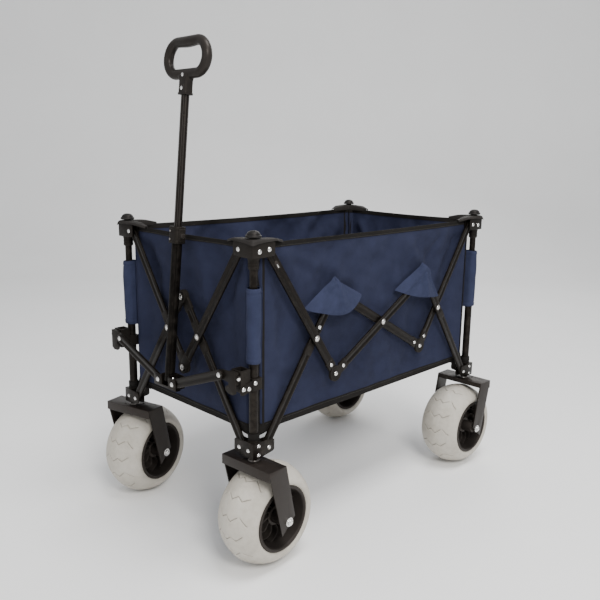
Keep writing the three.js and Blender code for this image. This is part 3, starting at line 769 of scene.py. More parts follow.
for c, sx, sy in CORNERS:
    at = (sx * POST_X, sy * POST_Y, 0)
    T = Matrix.Translation(at)
    leg, post = f"leg_{c}", f"post_{c}"
    # lower leg tube with a plastic glide at its mouth
    tube = lathe([(9.6, 289), (10.6, 289), (11, 289.4), (11, 592), (9.6, 592)], 32, "z", at)
    glide = lathe([(9.3, 588), (11.9, 588), (12.1, 588.4), (12.1, 598.5), (11.2, 600), (9.3, 600)], 32, "z", at)
    piece(f"{leg}.tube", [(tube, PAINT), (glide, PLASTIC)], leg, [f"leg_tube_{c}"])
    # lower hub: softened casting, with rivets on both outer faces
    hub = cad(f"lower_hub_{c}", 1.1, 2)
    parts = [(hub, PAINT)]
    fx, fy = sx * 17.5, sy * 17.5
    parts.append((rivet((at[0] - sx * HUB_IN, at[1] + fy, Z_LOW), "y", 5.6, 2.7, sy), ZINC))
    parts.append((rivet((at[0], at[1] + fy, 308.5), "y", 5.2, 2.6, sy), ZINC))
    parts.append((rivet((at[0], at[1] + fy, 285.5), "y", 5.2, 2.6, sy), ZINC))
    parts.append((rivet((at[0] + fx, at[1] - sy * HUB_IN, Z_LOW), "x", 5.6, 2.7, sx), ZINC))
    parts.append((rivet((at[0] + fx, at[1], 297), "x", 5.2, 2.6, sx), ZINC))
    parts.append((ring(11.2, 13.6, 317.6, 320.4, 0.7, 32, at), PLASTIC))
    parts.append((ring(6.0, 12.2, 271.0, 273.4, 0.5, 32, at), STEEL_DARK))
    piece(f"{leg}.hub", parts, leg, [f"lower_hub_{c}"])
    # upper hub, sliding post and domed cap
    head = cad(f"upper_post_{c}", 1.2, 2, keep=[((0, 0, 746.0), (0, 0, -1)), ((0, 0, 788.0), (0, 0, 1))])
    parts = [(head, PLASTIC)]
    parts.append((rivet((at[0] - sx * HUB_IN, at[1] + fy, Z_TOP), "y", 5.6, 2.7, sy), ZINC))
    parts.append((rivet((at[0] - sx * 3, at[1] + fy, Z_TOP - 3), "y", 5.6, 2.7, sy), ZINC))
    parts.append((rivet((at[0] + fx, at[1] - sy * HUB_IN, Z_TOP), "x", 5.6, 2.7, sx), ZINC))
    sleeve = lathe([(8.9, 720), (11.2, 720), (12.2, 721), (12.4, 726), (12.4, 739), (13.2, 741), (13.2, 748), (8.9, 748)], 32, "z", at)
    tube = lathe([(7.8, 470), (8.7, 470), (9.0, 470.4), (9.0, 724), (7.8, 724)], 32, "z", at)
    ribs = [(ring(11.0, 12.9, z, z + 2.2, 0.5, 32, at), PLASTIC) for z in (724.5, 731.5)]
    piece(f"{post}.tube", [(tube, PAINT), (sleeve, PLASTIC)] + ribs, post)
    dome = lathe([(0, 790.6), (16.6, 790.6), (17.9, 791.4), (18.2, 793.2), (17.8, 795.0), (16.6, 796.2), (15.6, 796.5), (15.0, 798.6), (13.0, 801.6),
                  (9.8, 804.0), (6.0, 805.4), (2.0, 806.0), (0, 806.0)], 40, "z", at)
    neck = lathe([(0, 784), (8.8, 784), (8.8, 791), (0, 791)], 24, "z", at)
    piece(f"{post}.cap", [(dome, PLASTIC_CAP), (neck, PLASTIC)], post)
    piece(f"{post}.hub", parts, post, [f"upper_post_{c}"])


# ------------------------------------------------------------------ wheels
def tyre_prim(M):
    """Balloon tyre with zigzag sipes cut across the tread."""
    ctrl = [(79.5, -55.5), (82.0, -60.5), (87.5, -63.2), (94.0, -62.6), (100.5, -58.4), (106.5, -51.5), (112.2, -42.6), (117.0, -32.6), (120.9, -21.6),
            (123.9, -10.0), (125.0, 0.0)]
    ctrl = ctrl + [(r, -y) for r, y in ctrl[-2::-1]]
    pts = np.array(ctrl, float)
    seg = np.r_[0, np.cumsum(np.linalg.norm(np.diff(pts, axis=0), axis=1))]
    NS = 84
    st = np.linspace(0, seg[-1], NS + 1)
    prof = np.c_[np.interp(st, seg, pts[:, 0]), np.interp(st, seg, pts[:, 1])]
    for _ in range(3):                      # round off the control polygon
        prof[1:-1] = 0.25 * prof[:-2] + 0.5 * prof[1:-1] + 0.25 * prof[2:]
    ROWS, COLS = 16, 15
    R = 122.0
    pitch = 2 * math.pi * R / ROWS
    local = np.r_[0.0, 1.3, 2.4, np.linspace(2.4, pitch - 2.4, COLS - 2)[1:-1], pitch - 2.4, pitch - 1.3]
    depth = np.r_[2.3, 1.1, 0.0, np.zeros(len(local) - 5), 0.0, 1.1]
    y = prof[:, 1]

    def zig(y, flip):
        t = np.asarray(y) * flip
        xs = [-70, -46, -27, -6, 9, 22, 40, 70]
        ys = [9, 9, -9, 8, -3, 5, -10, -10]
        return np.interp(t, xs, ys)

    def mask(y, flip):
        t = np.asarray(y) * flip
        return np.clip(np.interp(t, [-60, -49, -47, -30, -28, -24, -22, 38, 41, 60], [0, 0, 1, 1, 0, 0, 1, 1, 0, 0]), 0, 1)

    cols = []
    for i in range(ROWS):
        f0, f1 = (1, -1) if i % 2 == 0 else (-1, 1)
        for j, loc in enumerate(local):
            k = loc / pitch
            k = k * k * (3 - 2 * k)
            warp = zig(y, f0) * (1 - k) + zig(y, f1) * k
            near = f0 if loc < pitch / 2 else f1
            dep = depth[j] * mask(y, near)
            cols.append((2 * math.pi * i / ROWS + (loc + warp) / R, dep))
    n, m = len(cols), len(prof)
    # profile normals for the groove depth
    tn = np.gradient(prof, axis=0)
    nr = np.c_[tn[:, 1], -tn[:, 0]]
    nr = nr / np.linalg.norm(nr, axis=1, keepdims=True)
    if nr[m // 2, 0] < 0:
        nr = -nr
    verts = []
    for a, dep in cols:
        p = prof - nr * dep[:, None]
        rr, yy = p[:, 0], p[:, 1]
        verts.append(np.c_[rr * np.sin(a), yy, rr * np.cos(a)])
    inner = [(80.0, 52.0), (90, 50), (104, 36), (112, 0), (104, -36), (90, -50), (80.0, -52.0)]
    for a, _ in cols:
        a0 = a.mean() if np.ndim(a) else a
        q = np.array(inner)
        verts.append(np.c_[q[:, 0] * np.sin(a0), q[:, 1], q[:, 0] * np.cos(a0)])
    V = np.concatenate(verts)
    faces = []
    k = len(inner)
    base = n * m
    for i in range(n):
        j = (i + 1) % n
        for q in range(m - 1):
            faces.append((i * m + q, j * m + q, j * m + q + 1, i * m + q + 1))
        chain_i = [i * m + m - 1] + [base + i * k + t for t in range(k)] + [i * m]
        chain_j = [j * m + m - 1] + [base + j * k + t for t in range(k)] + [j * m]
        for t in range(len(chain_i) - 1):
            faces.append((chain_i[t], chain_j[t], chain_j[t + 1], chain_i[t + 1]))
    return xf(outward((V, faces, None)), M)


def rim_parts(M):
    """Dished moulded rim: lip ring, tapered well, curved vanes from hub to well, and the hub."""
    out = []
    half = [(16.5, 5.0), (60.0, 5.0), (62.5, 7.5), (63.5, 26.0), (66.0, 38.0), (70.2, 50.0), (71.4, 55.5), (72.2, 58.6), (73.8, 60.4), (76.6, 61.2), (79.6, 60.6),
            (81.2, 58.8), (81.5, 56.0), (79.4, 54.6), (79.0, 50.0)]
    prof = half + [(r, -y) for r, y in half[::-1]]
    out.append(lathe(prof, 72, "y"))
    out.append(lathe([(73.6, 60.0), (74.0, 61.6), (74.9, 61.6), (75.3, 60.6)], 72, "y"))
    hub = [(6.2, -68), (14.0, -68), (15.2, -66.8), (15.6, -58), (17.0, -40), (18.5, -5), (18.5, 5), (17.0, 40), (15.6, 58), (15.2, 66.8), (14.0, 68), (6.2, 68)]
    out.append(lathe(hub, 32, "y"))
    out.append(lathe([(16.0, 30), (23.0, 30), (24.0, 31), (24.0, 33), (23.0, 34), (16.0, 34)], 32, "y"))
    out.append(lathe([(16.0, -34), (23.0, -34), (24.0, -33), (24.0, -31), (23.0, -30), (16.0, -30)], 32, "y"))
    NV = 11
    for sgn in (1, -1):
        for i in range(NV):
            a0 = 2 * math.pi * i / NV
            path = []
            for k in range(13):
                t = k / 12
                r = 15.5 + (64.5 - 15.5) * t
                a = a0 + sgn * (0.62 * math.sin(t * math.pi * 0.9) - 0.34 * t)
                path.append((r * math.sin(a), r * math.cos(a), t))
            v, f = [], []
            for x, z, t in path:
                i0 = path.index((x, z, t))
                nx, nz = path[min(i0 + 1, 12)], path[max(i0 - 1, 0)]
                d = np.array([nx[0] - nz[0], nx[1] - nz[1]])
                d = d / np.linalg.norm(d)
                w = np.array([-d[1], d[0]]) * 1.5
                top = sgn * (34.0 - 5.0 * math.sin(t * math.pi) + 3.0 * t)
                ys = (sgn * 4.6, top)
                for (wx, wz), yv in ((w, ys[0]), (w * 0.8, ys[1] - sgn * 0.8), (w * 0.3, ys[1]), (-w * 0.3, ys[1]), (-w * 0.8, ys[1] - sgn * 0.8), (-w, ys[0])):
                    v.append((x + wx, yv, z + wz))
            m = 6
            for q in range(12):
                for j in range(m):
                    f.append((q * m + j, (q + 1) * m + j, (q + 1) * m + (j + 1) % m, q * m + (j + 1) % m))
            f.append(tuple(range(m)))
            f.append(tuple(range(12 * m, 13 * m)))
            out.append(outward((np.array(v), f, None)))
        # valve boss on the web
        out.append(lathe([(0, sgn * 5), (4.6, sgn * 5), (4.6, sgn * 15), (3.2, sgn * 17), (0, sgn * 17)], 16, "y", (0, 0, 44)))
    return [xf(p, M) for p in out]


for c, sx, sy in CORNERS:
    t = TRAIL_FRONT if sx > 0 else TRAIL_REAR
    Fm = Matrix.Translation((sx * POST_X, sy * POST_Y, 0)) @ Matrix.Rotation(YAW[c], 4, "Z")
    Wm = Fm @ Matrix.Translation((t, 0, AXLE_Z))
    wheel, caster = f"wheel_{c}", (f"caster_{c}" if sx > 0 else f"leg_{c}")
    spin = Matrix.Rotation(math.radians({"front_left": 8, "front_right": 41, "rear_left": 19, "rear_right": 3}[c]), 4, "Y")
    piece(f"{wheel}.tyre", [(tyre_prim(Wm @ spin), TYRE)], wheel, [f"tyre_{c}"], smooth=50)
    piece(f"{wheel}.rim", [(p, RIM_PLASTIC) for p in rim_parts(Wm @ spin)], wheel, [f"wheel_rim_{c}"])
    # axle: bolt through the hub, nut and washer on each strap
    ax = [(xf(lathe([(0, -82), (5, -82), (5, 82), (0, 82)], 20, "y"), Wm), ZINC)]
    for sg in (1, -1):
        for q in hexnut((0, sg * 79.2, 0), "y", sg, 8.6, 5.0):
            ax.append((xf(q, Wm), ZINC))
    for sg in (1, -1):
        ax.append((xf(lathe([(6.0, sg * 68.6), (10.5, sg * 68.6), (10.5, sg * 74.8), (6.0, sg * 74.8)], 24, "y"), Wm), RIM_PLASTIC))
    piece(f"{caster}.axle", ax, caster, [f"axle_bolt_{c}"])
    fork = cad(f"fork_{c}", 1.3, 3, angle=30)
    parts = [(fork, PAINT_WARM)]
    for sg in (1, -1):
        # second hole beside the axle, drawn as a flat dark disc on the strap: painted shade of the hole's opening
        parts.append((xf(lathe([(0, sg * 78.6), (3.7, sg * 78.6), (3.7, sg * 79.1), (3.2, sg * 79.25), (0, sg * 79.25)], 20, "y", (-13.5 * (1 if sx > 0 else -1) * -1 + t - (0 if sx > 0 else 0), 0, AXLE_Z + 3)), Fm), RIM_PLASTIC))
    parts.append((xf(ring(5.5, 13.5, 269.8, 271.6, 0.5, 32), Fm), STEEL_DARK))
    parts.append((xf(lathe([(0, 268), (7.4, 268), (7.4, 275), (6.2, 277.5), (0, 277.5)], 24), Fm), STEEL_DARK))
    for k in range(4):
        a = math.pi / 4 + k * math.pi / 2
        parts.append((xf(rivet((19.5 * math.cos(a), 30 * math.sin(a), 270.0), "z", 3.4, 1.5, 1, 14), Fm), PAINT_WARM))
    piece(f"{caster}.fork", parts, caster, [f"fork_{c}"])


# ------------------------------------------------------------------ pull handle
for side_name, s in (("left", 1), ("right", -1)):
    leg = f"leg_front_{side_name}"
    at = np.array([POST_X, s * POST_Y, 0.0])
    S = Matrix.Translation(tuple(at)) @ Matrix.Scale(s, 4, (0, 1, 0))
    clamp = cad(f"post_clamp_{side_name}", 1.0, 2)
    parts = [(clamp, PLASTIC)]
    for (x, z) in ((6.0, 462.0), (24.0, 452.0), (40.0, 454.0)):
        parts.append((xf(rivet((x, 12.6 if x > 12 else 13.6, z), "y", 5.4, 2.6, 1), S), ZINC))
    parts.append((xf(lathe([(0, 9.0), (4.2, 9.0), (4.2, 11.4), (3.4, 12.0), (0, 12.0)], 18, "y", (53, 0, 481)), S), ZINC))
    piece(f"{leg}.clamp", parts, leg, [f"post_clamp_{side_name}"])
    kn = cad(f"handle_knuckle_{side_name}", 0.9, 2)
    parts = [(kn, PLASTIC)]
    piece(f"knuckle_{side_name}.bracket", parts, f"knuckle_{side_name}", [f"handle_knuckle_{side_name}"])
    # drawbar arm: the same pressed channel as the scissors
    py, qy = s * (POST_Y - 44.7), s * 30.0
    base = POST_X
    arm = bar_prim("yz", 1, (py, 481.0), (qy, 413.0), (58.9, 66.0), None, None)
    parts = [(arm, PAINT)]
    parts.append((rivet((POST_X + 66.0, py, 481.0), "x", 6.2, 3.0, 1), ZINC))
    piece(f"arm_{side_name}.steel", parts, f"arm_{side_name}", [f"handle_arm_{side_name}"])

yoke = cad("handle_yoke", 0.9, 2)
parts = [(yoke, PAINT)]
for y in (30.0, -30.0):
    parts.append((rivet((POST_X + 68.5, y, 413.0), "x", 6.2, 3.0, 1), ZINC))
for sg in (1, -1):
    parts.append((rivet((503.4, sg * 16.4, 420.0), "y", 5.0, 2.4, sg), ZINC))
piece("yoke.bracket", parts, "yoke", ["handle_yoke"])


def grooved(r, depth=1.1, n=72, at=(57, 147, 237, 327), half=7.0, twin=None):
    """Circle section with lengthwise grooves."""
    out = []
    for i in range(n):
        a = 360.0 * i / n
        k = 0.0
        for g in at:
            dd = abs((a - g + 180) % 360 - 180)
            k = max(k, max(0.0, min(1.0, (half - dd) / 3.2)))
        rr = r - depth * k
        out.append((rr * math.cos(math.radians(a)), rr * math.sin(math.radians(a))))
    return out


def tube_xy(section, z0, z1, M, bevel_ends=0.5):
    c = np.array(section)
    path = [(0, 0, z0), (0, 0, z0 + bevel_ends), (0, 0, z1 - bevel_ends), (0, 0, z1)]
    k = 1 - bevel_ends / np.abs(c).max()
    v, f, m = [], [], len(c)
    for (x, y, z), sc in zip(path, (k, 1, 1, k)):
        for a, b in c:
            v.append((a * sc, b * sc, z))
    for i in range(3):
        for j in range(m):
            f.append((i * m + j, (i + 1) * m + j, (i + 1) * m + (j + 1) % m, i * m + (j + 1) % m))
    f.append(tuple(range(m)))
    f.append(tuple(range(3 * m, 4 * m)))
    return xf(outward((np.array(v, float), f, None)), M)


# lower tube, collar and its clamp lever housing
parts = [(tube_xy(grooved(12.5, 0.8, 72, (57, 147, 237, 327), 5.5), -7, 372, H, 1.0), PAINT_DARK)]
sec = [(1.0 + a, b) for a, b in rounded_rect(30.6, 35.4, 9.0, 6)]
for z0, z1, k in ((335, 343, 1.0), (341, 368, 0.965), (366, 375.5, 1.02)):
    q = prism([(a * k, b * k) for a, b in sec], "xy", z0, z1, 1.3, 2)
    parts.append((xf(q, H), PLASTIC))
parts.append((xf(box(-9.4, 9.4, 12, 20.0, 339, 371, 1.8, 3), H), PLASTIC))
parts.append((xf(lathe([(6.7, 18.5), (8.8, 18.5), (8.8, 20.6), (8.2, 21.0), (6.7, 21.0)], 28, "y", (0, 0, 354)), H), PLASTIC))
for z in (344.5, 364.5):
    parts.append((xf(rivet((16.2, -8.5, z), "x", 2.4, 0.9, 1, 14), H), STEEL_DARK))
piece("handle_base.tube", parts, "handle_base", ["handle_lower_tube"])
parts = [(xf(lathe([(0, 14.6), (6.0, 14.6), (6.0, 22.0), (5.2, 23.2), (3.4, 23.6), (0, 23.4)], 28, "y", (0, 0, 354)), H), GRIP_PLASTIC)]
piece("release_button.cap", parts, "release_button", ["handle_release_button"])
parts = [(tube_xy(grooved(9.9, 2.7, 120, (22, 52, 90, 142, 218, 270, 322), 8.0), 330, 700, H, 0.6), PAINT_GLOSS)]
piece("handle_stem.tube", parts, "handle_stem", ["handle_upper_tube"])

# D grip: one closed loop of varying section, blended into a ribbed neck
GZ = 768.6
loop, rad = [], []
W2, H2, CR = 74.4, 36.8, 35.5
cl = rounded_rect(2 * W2, 2 * H2, CR, 14)
cl = np.array(cl)
dense = []
for i in range(len(cl)):
    a, b = cl[i], cl[(i + 1) % len(cl)]
    k = max(1, int(np.linalg.norm(b - a) / 4.0))
    for j in range(k):
        dense.append(a + (b - a) * j / k)
dense = np.array(dense)
for y, z in dense:
    top = max(0.0, min(1.0, (z - 25.0) / 14.0))
    mid = math.exp(-(y / 30.0) ** 2)
    bot = max(0.0, min(1.0, (-z - 25.0) / 14.0))
    sag = -1.6 * top * mid                          # the hand bar bellies down into the loop
    loop.append((0.0, y * (1.0 - 0.035 * (z > 0) * (z / H2)), GZ + z + sag))
    r = 12.3 - 1.5 * top - 1.9 * bot + 2.2 * top * mid
    rad.append((12.0 - 0.2 * top + 1.3 * top * mid, r))
circle = [(math.cos(2 * math.pi * k / 28), math.sin(2 * math.pi * k / 28)) for k in range(28)]
grip = sweep(loop, circle, up=(1, 0, 0), closed=True, scale=rad)
parts = [(xf(grip, H), GRIP_PLASTIC)]
# neck lofted from a rounded rectangle into the loop
nv, nf = [], []
secs = [(683.5, 25.0, 30.6, 5.5), (684.5, 26.0, 31.6, 5.5), (688.0, 26.0, 31.6, 5.5), (689.0, 24.2, 29.6, 5.5), (700, 23.6, 29.0, 5.5), (708, 23.0, 31.0, 6.0),
        (716, 22.8, 33.0, 7.0), (722, 22.6, 40.0, 8.0), (728, 21.5, 51.0, 8.5), (733, 18.0, 58.0, 8.0)]
for z, dx, dy, r in secs:
    for a, b in rounded_rect(dx, dy, r, 5):
        nv.append((a, b, z))
m = len(rounded_rect(10, 10, 2, 5))
for i in range(len(secs) - 1):
    for j in range(m):
        nf.append((i * m + j, (i + 1) * m + j, (i + 1) * m + (j + 1) % m, i * m + (j + 1) % m))
nf.append(tuple(range(m)))
nf.append(tuple(range((len(secs) - 1) * m, len(secs) * m)))
parts.append((xf(outward((np.array(nv, float), nf, None)), H), GRIP_PLASTIC))
for y in (-8.5, 0.0, 8.5):
    parts.append((xf(box(11.2, 12.9, y - 1.1, y + 1.1, 690, 706, 0.5, 2), H), GRIP_PLASTIC))
parts.append((xf(rivet((11.6, 0, 728.5), "x", 4.6, 2.2, 1), H), ZINC))
parts.append((xf(rivet((12.5, 0, 698.0), "x", 4.6, 2.2, 1), H), ZINC))
piece("handle_stem.grip", parts, "handle_stem", ["handle_grip"])


# ------------------------------------------------------------------ fabric
def smooth_noise(x, y, seed, scale):
    """Sum of a few seeded plane waves: soft and repeatable."""
    r = np.random.default_rng(seed)
    out = np.zeros_like(x, dtype=float)
    for _ in range(7):
        a = r.uniform(0, 2 * math.pi)
        k = r.uniform(0.6, 1.6) / scale
        out += math.sqrt(1 / 7) * np.sin((x * math.cos(a) + y * math.sin(a)) * k * 2 * math.pi + r.uniform(0, 6.28))
    return out


def fold(x, z, a, b, width, amp, skew=0.0):
    """A crease from a to b: ridge of the given width that fades at both ends."""
    a, b = np.array(a, float), np.array(b, float)
    d = b - a
    L = np.linalg.norm(d)
    d = d / L
    t = (x - a[0]) * d[0] + (z - a[1]) * d[1]
    s = -(x - a[0]) * d[1] + (z - a[1]) * d[0]
    s = s + skew * np.sin(t / L * math.pi) * width
    along = np.clip(t / (0.22 * L), 0, 1) * np.clip((L - t) / (0.35 * L), 0, 1)
    along = along * along * (3 - 2 * along)
    return amp * along * np.exp(-(s / width) ** 2)


def softclamp(w, hi, k=2.5):
    return hi - k * np.log1p(np.exp(np.clip((hi - w) / k, -30, 30)))


def plan_path(long_panel, step=8.0):
    """Plan line of a panel's flat part, in its own frame, from one corner seam to the other."""
    X, Y, c = (PANEL_X, PANEL_Y, CHAMFER) if long_panel else (PANEL_Y, PANEL_X, CHAMFER)
    n = int(2 * (X - c + 1) / step)
    return np.array([(X - c + 1 - 2 * (X - c + 1) * i / n, Y) for i in range(n + 1)], float)


def rim_sag(x, half):
    """How far the rim drops between its corners."""
    k = np.clip(np.abs(x) / half, 0, 1)
    return -3.0 * (1 - k ** 2)


def panel_grid(long_panel, seed, folds):
    path = plan_path(long_panel)
    z = np.r_[TUB_Z0, TUB_Z0 + 8.0, np.linspace(TUB_Z0 + 16.0, TUB_Z1 - 13.5, 50), TUB_Z1 - 8, TUB_Z1 - 2.5]
    t = np.gradient(path, axis=0)
    t = t / np.linalg.norm(t, axis=1, keepdims=True)
    n = np.c_[t[:, 1], -t[:, 0]]
    if n[len(n) // 2, 1] < 0:
        n = -n
    half = (PANEL_X if long_panel else PANEL_Y) - CHAMFER
    S, Z = np.meshgrid(path[:, 0], z, indexing="ij")
    k = (Z - TUB_Z0) / (TUB_Z1 - TUB_Z0)
    edge = np.clip((half + 1 - np.abs(S)) / 70.0, 0, 1)
    edge = edge * edge * (3 - 2 * edge)
    vert = np.clip((Z - TUB_Z0) / 45.0, 0, 1) * np.clip((TUB_Z1 - Z) / 28.0, 0, 1)
    w = -10.5 * edge * np.sin(math.pi * k) ** 0.7
    w += vert * edge * (6.0 * smooth_noise(S, Z * 0.55, seed, 260.0) + 2.4 * smooth_noise(S, Z, seed + 5, 110.0) + 0.8 * smooth_noise(S, Z, seed + 9, 46.0))
    for a, b, width, amp, sk in folds:
        w += fold(S, Z, a, b, width, 2.6 * amp, sk) * np.clip((Z - TUB_Z0) / 16.0, 0, 1) * np.clip((TUB_Z1 - Z) / 14.0, 0, 1)
    # the rim itself bows in a little between its corners
    w += -5.0 * np.clip(1 - (np.abs(S) / (half + 20)) ** 2, 0, 1) * np.clip((k - 0.55) / 0.45, 0, 1)
    w = softclamp(w, 1.1, 1.2)
    P3 = np.zeros(S.shape + (3,))
    P3[..., 0] = path[:, 0][:, None] + n[:, 0][:, None] * w
    P3[..., 1] = path[:, 1][:, None] + n[:, 1][:, None] * w
    P3[..., 2] = Z + rim_sag(S, half) * np.clip((k - 0.6) / 0.4, 0, 1) ** 1.5
    su = np.r_[0, np.cumsum(np.linalg.norm(np.diff(path, axis=0), axis=1))]
    uv = np.zeros(S.shape + (2,))
    uv[..., 0] = su[:, None] * MM
    uv[..., 1] = Z * MM
    return P3, uv, n


def band_from(grid, rows, outset, over, thick, back):
    """A folded tape over an edge of the sheet: out the outer face, round the edge and down the inner face."""
    g = grid
    nu = g.shape[0]
    du = np.gradient(g[:, rows[0]], axis=0)
    up = np.array([0, 0, 1.0])
    nrm = np.cross(du, up)
    nrm = nrm / np.linalg.norm(nrm, axis=1, keepdims=True)
    mid = g[nu // 2, rows[0]]
    if nrm[nu // 2] @ np.array([mid[0], mid[1], 0]) < 0:
        nrm = -nrm
    a, b = g[:, rows[0]], g[:, rows[1]]
    sgn = 1.0 if a[0, 2] > b[0, 2] else -1.0
    out = []
    ts = [1.0, 0.75, 0.5, 0.25, 0.05]
    for k in ts:
        out.append(a + (b - a) * k + nrm * (outset * (1.0 if 0.1 < k < 0.95 else 0.85)))
    for ang in (60, 90, 120):
        r = (outset + back) / 2
        c = a - nrm * ((back - outset) / 2)
        out.append(c + nrm * r * math.cos(math.radians(ang)) + up * sgn * over * math.sin(math.radians(ang)))
    for k in ts[::-1]:
        out.append(a + (b - a) * k - nrm * back)
    return np.stack(out, axis=1)


PANELS = {
    "left": dict(long=True, seed=11, M=Matrix.Identity(4)),
    "right": dict(long=True, seed=23, M=Matrix.Rotation(math.pi, 4, "Z")),
    "front": dict(long=False, seed=37, M=Matrix.Rotation(-math.pi / 2, 4, "Z")),
    "rear": dict(long=False, seed=51, M=Matrix.Rotation(math.pi / 2, 4, "Z")),
}
LONG_FOLDS = [
    # (from, to, width, height, skew) in the panel's own x, z
    ((400, 745), (300, 560), 26, -5.0, 0.5), ((415, 700), (350, 430), 20, 3.0, -0.4), ((-400, 745), (-310, 590), 24, -4.5, -0.5),
    ((-330, 770), (-250, 680), 16, 2.6, 0.3), ((210, 690), (330, 770), 18, 2.6, 0.4), ((175, 668), (90, 760), 20, 2.4, 0.4),
    ((150, 655), (60, 600), 14, -3.0, 0.2), ((-180, 668), (-110, 755), 18, 2.4, -0.3), ((-210, 660), (-300, 745), 16, -2.6, 0.3),
    ((20, 720), (-60, 560), 34, -3.6, 0.4), ((100, 450), (-60, 345), 30, -3.2, 0.4), ((-300, 500), (-390, 360), 26, -3.4, 0.3),
    ((330, 500), (400, 350), 26, 2.6, -0.5), ((230, 480), (120, 350), 22, 2.0, 0.4),
]
END_FOLDS = [
    ((205, 750), (120, 590), 20, -5.0, 0.4), ((-205, 750), (-130, 600), 20, -5.0, -0.4), ((60, 770), (20, 640), 18, 2.4, 0.4),
    ((-40, 760), (-90, 560), 22, 2.6, -0.3), ((190, 480), (120, 350), 22, -3.6, 0.3), ((-180, 470), (-110, 350), 22, 3.0, -0.3),
    ((0, 560), (20, 380), 26, -3.6, 0.3),
]
RIDE = {
    "left": ("post_front_left", dict(joint="fold", axis=(1, 0, 0), anchor=(FLAT_X * MM, 0.2547, 0.5), keep=FOLD_KEEP_X)),
    "right": ("post_front_right", dict(joint="fold", axis=(1, 0, 0), anchor=(FLAT_X * MM, -0.2547, 0.5), keep=FOLD_KEEP_X)),
    "front": ("post_front_left", dict(joint="fold", axis=(0, 1, 0), anchor=(0.450, FLAT_Y * MM, 0.5), keep=FOLD_KEEP_Y)),
    "rear": ("post_rear_left", dict(joint="fold", axis=(0, 1, 0), anchor=(-0.450, FLAT_Y * MM, 0.5), keep=FOLD_KEEP_Y)),
}
for pname, spec in PANELS.items():
    grid, uv, _ = panel_grid(spec["long"], spec["seed"], LONG_FOLDS if spec["long"] else END_FOLDS)
    body, sq = RIDE[pname]
    M = spec["M"]
    parts = [(xf(cloth(grid, 0.9, uv), M), NAVY)]
    half = (PANEL_X if spec["long"] else PANEL_Y) - CHAMFER
    ob = piece(f"tub.{pname}_panel", parts, body, ["basket_tub"] if pname == "left" else (), smooth=60, squash=sq)
    a, b, area = flat_of(grid)
    nz = grid.shape[1]
    top = band_from(grid, (nz - 1, nz - 3), 1.1, 2.2, 0.8, 2.1)
    bot = band_from(grid, (0, 2), 1.1, 1.6, 0.8, 2.1)
    # extend the bottom tape to its full width
    tparts = [(xf(cloth(top, 0.7), M), TAPE), (xf(cloth(bot[:, ::-1], 0.7), M), TAPE)]
    # stitch lines: a thin raised thread run along each tape, in short stitches
    for band, row, off in ((top, 1, 1.0), (bot, 1, 1.0)):
        line = band[:, row]
        seg = np.linalg.norm(np.diff(line, axis=0), axis=1)
        tot = np.r_[0, np.cumsum(seg)]
        nst = int(tot[-1] / 5.2)
        for i in range(nst):
            s0, s1 = i * tot[-1] / nst, (i + 0.66) * tot[-1] / nst
            p0 = np.array([np.interp(s0, tot, line[:, k]) for k in range(3)])
            p1 = np.array([np.interp(s1, tot, line[:, k]) for k in range(3)])
            d = (p1 - p0) / np.linalg.norm(p1 - p0)
            nn = np.cross(d, (0, 0, 1))
            if nn @ np.array([line[len(line) // 2][0] * 0, 1, 0]) < 0:
                nn = -nn
            c0, c1 = p0 + nn * 0.15, p1 + nn * 0.15
            mid = (p0 + p1) / 2 + nn * 0.75
            w = np.array([0, 0, 0.45])
            v = np.array([c0 - w, c0 + w, mid - w, mid + w, c1 - w, c1 + w, p0 - nn * 0.3, p1 - nn * 0.3])
            f = [(0, 2, 3, 1), (2, 4, 5, 3), (0, 1, 6), (4, 7, 5), (0, 6, 7, 4, 2), (1, 3, 5, 7, 6)]
            tparts.append((xf(outward((v, f, None)), M), THREAD_BLACK))
    piece(f"tub.{pname}_binding", tparts, body, (), smooth=50, squash=sq)

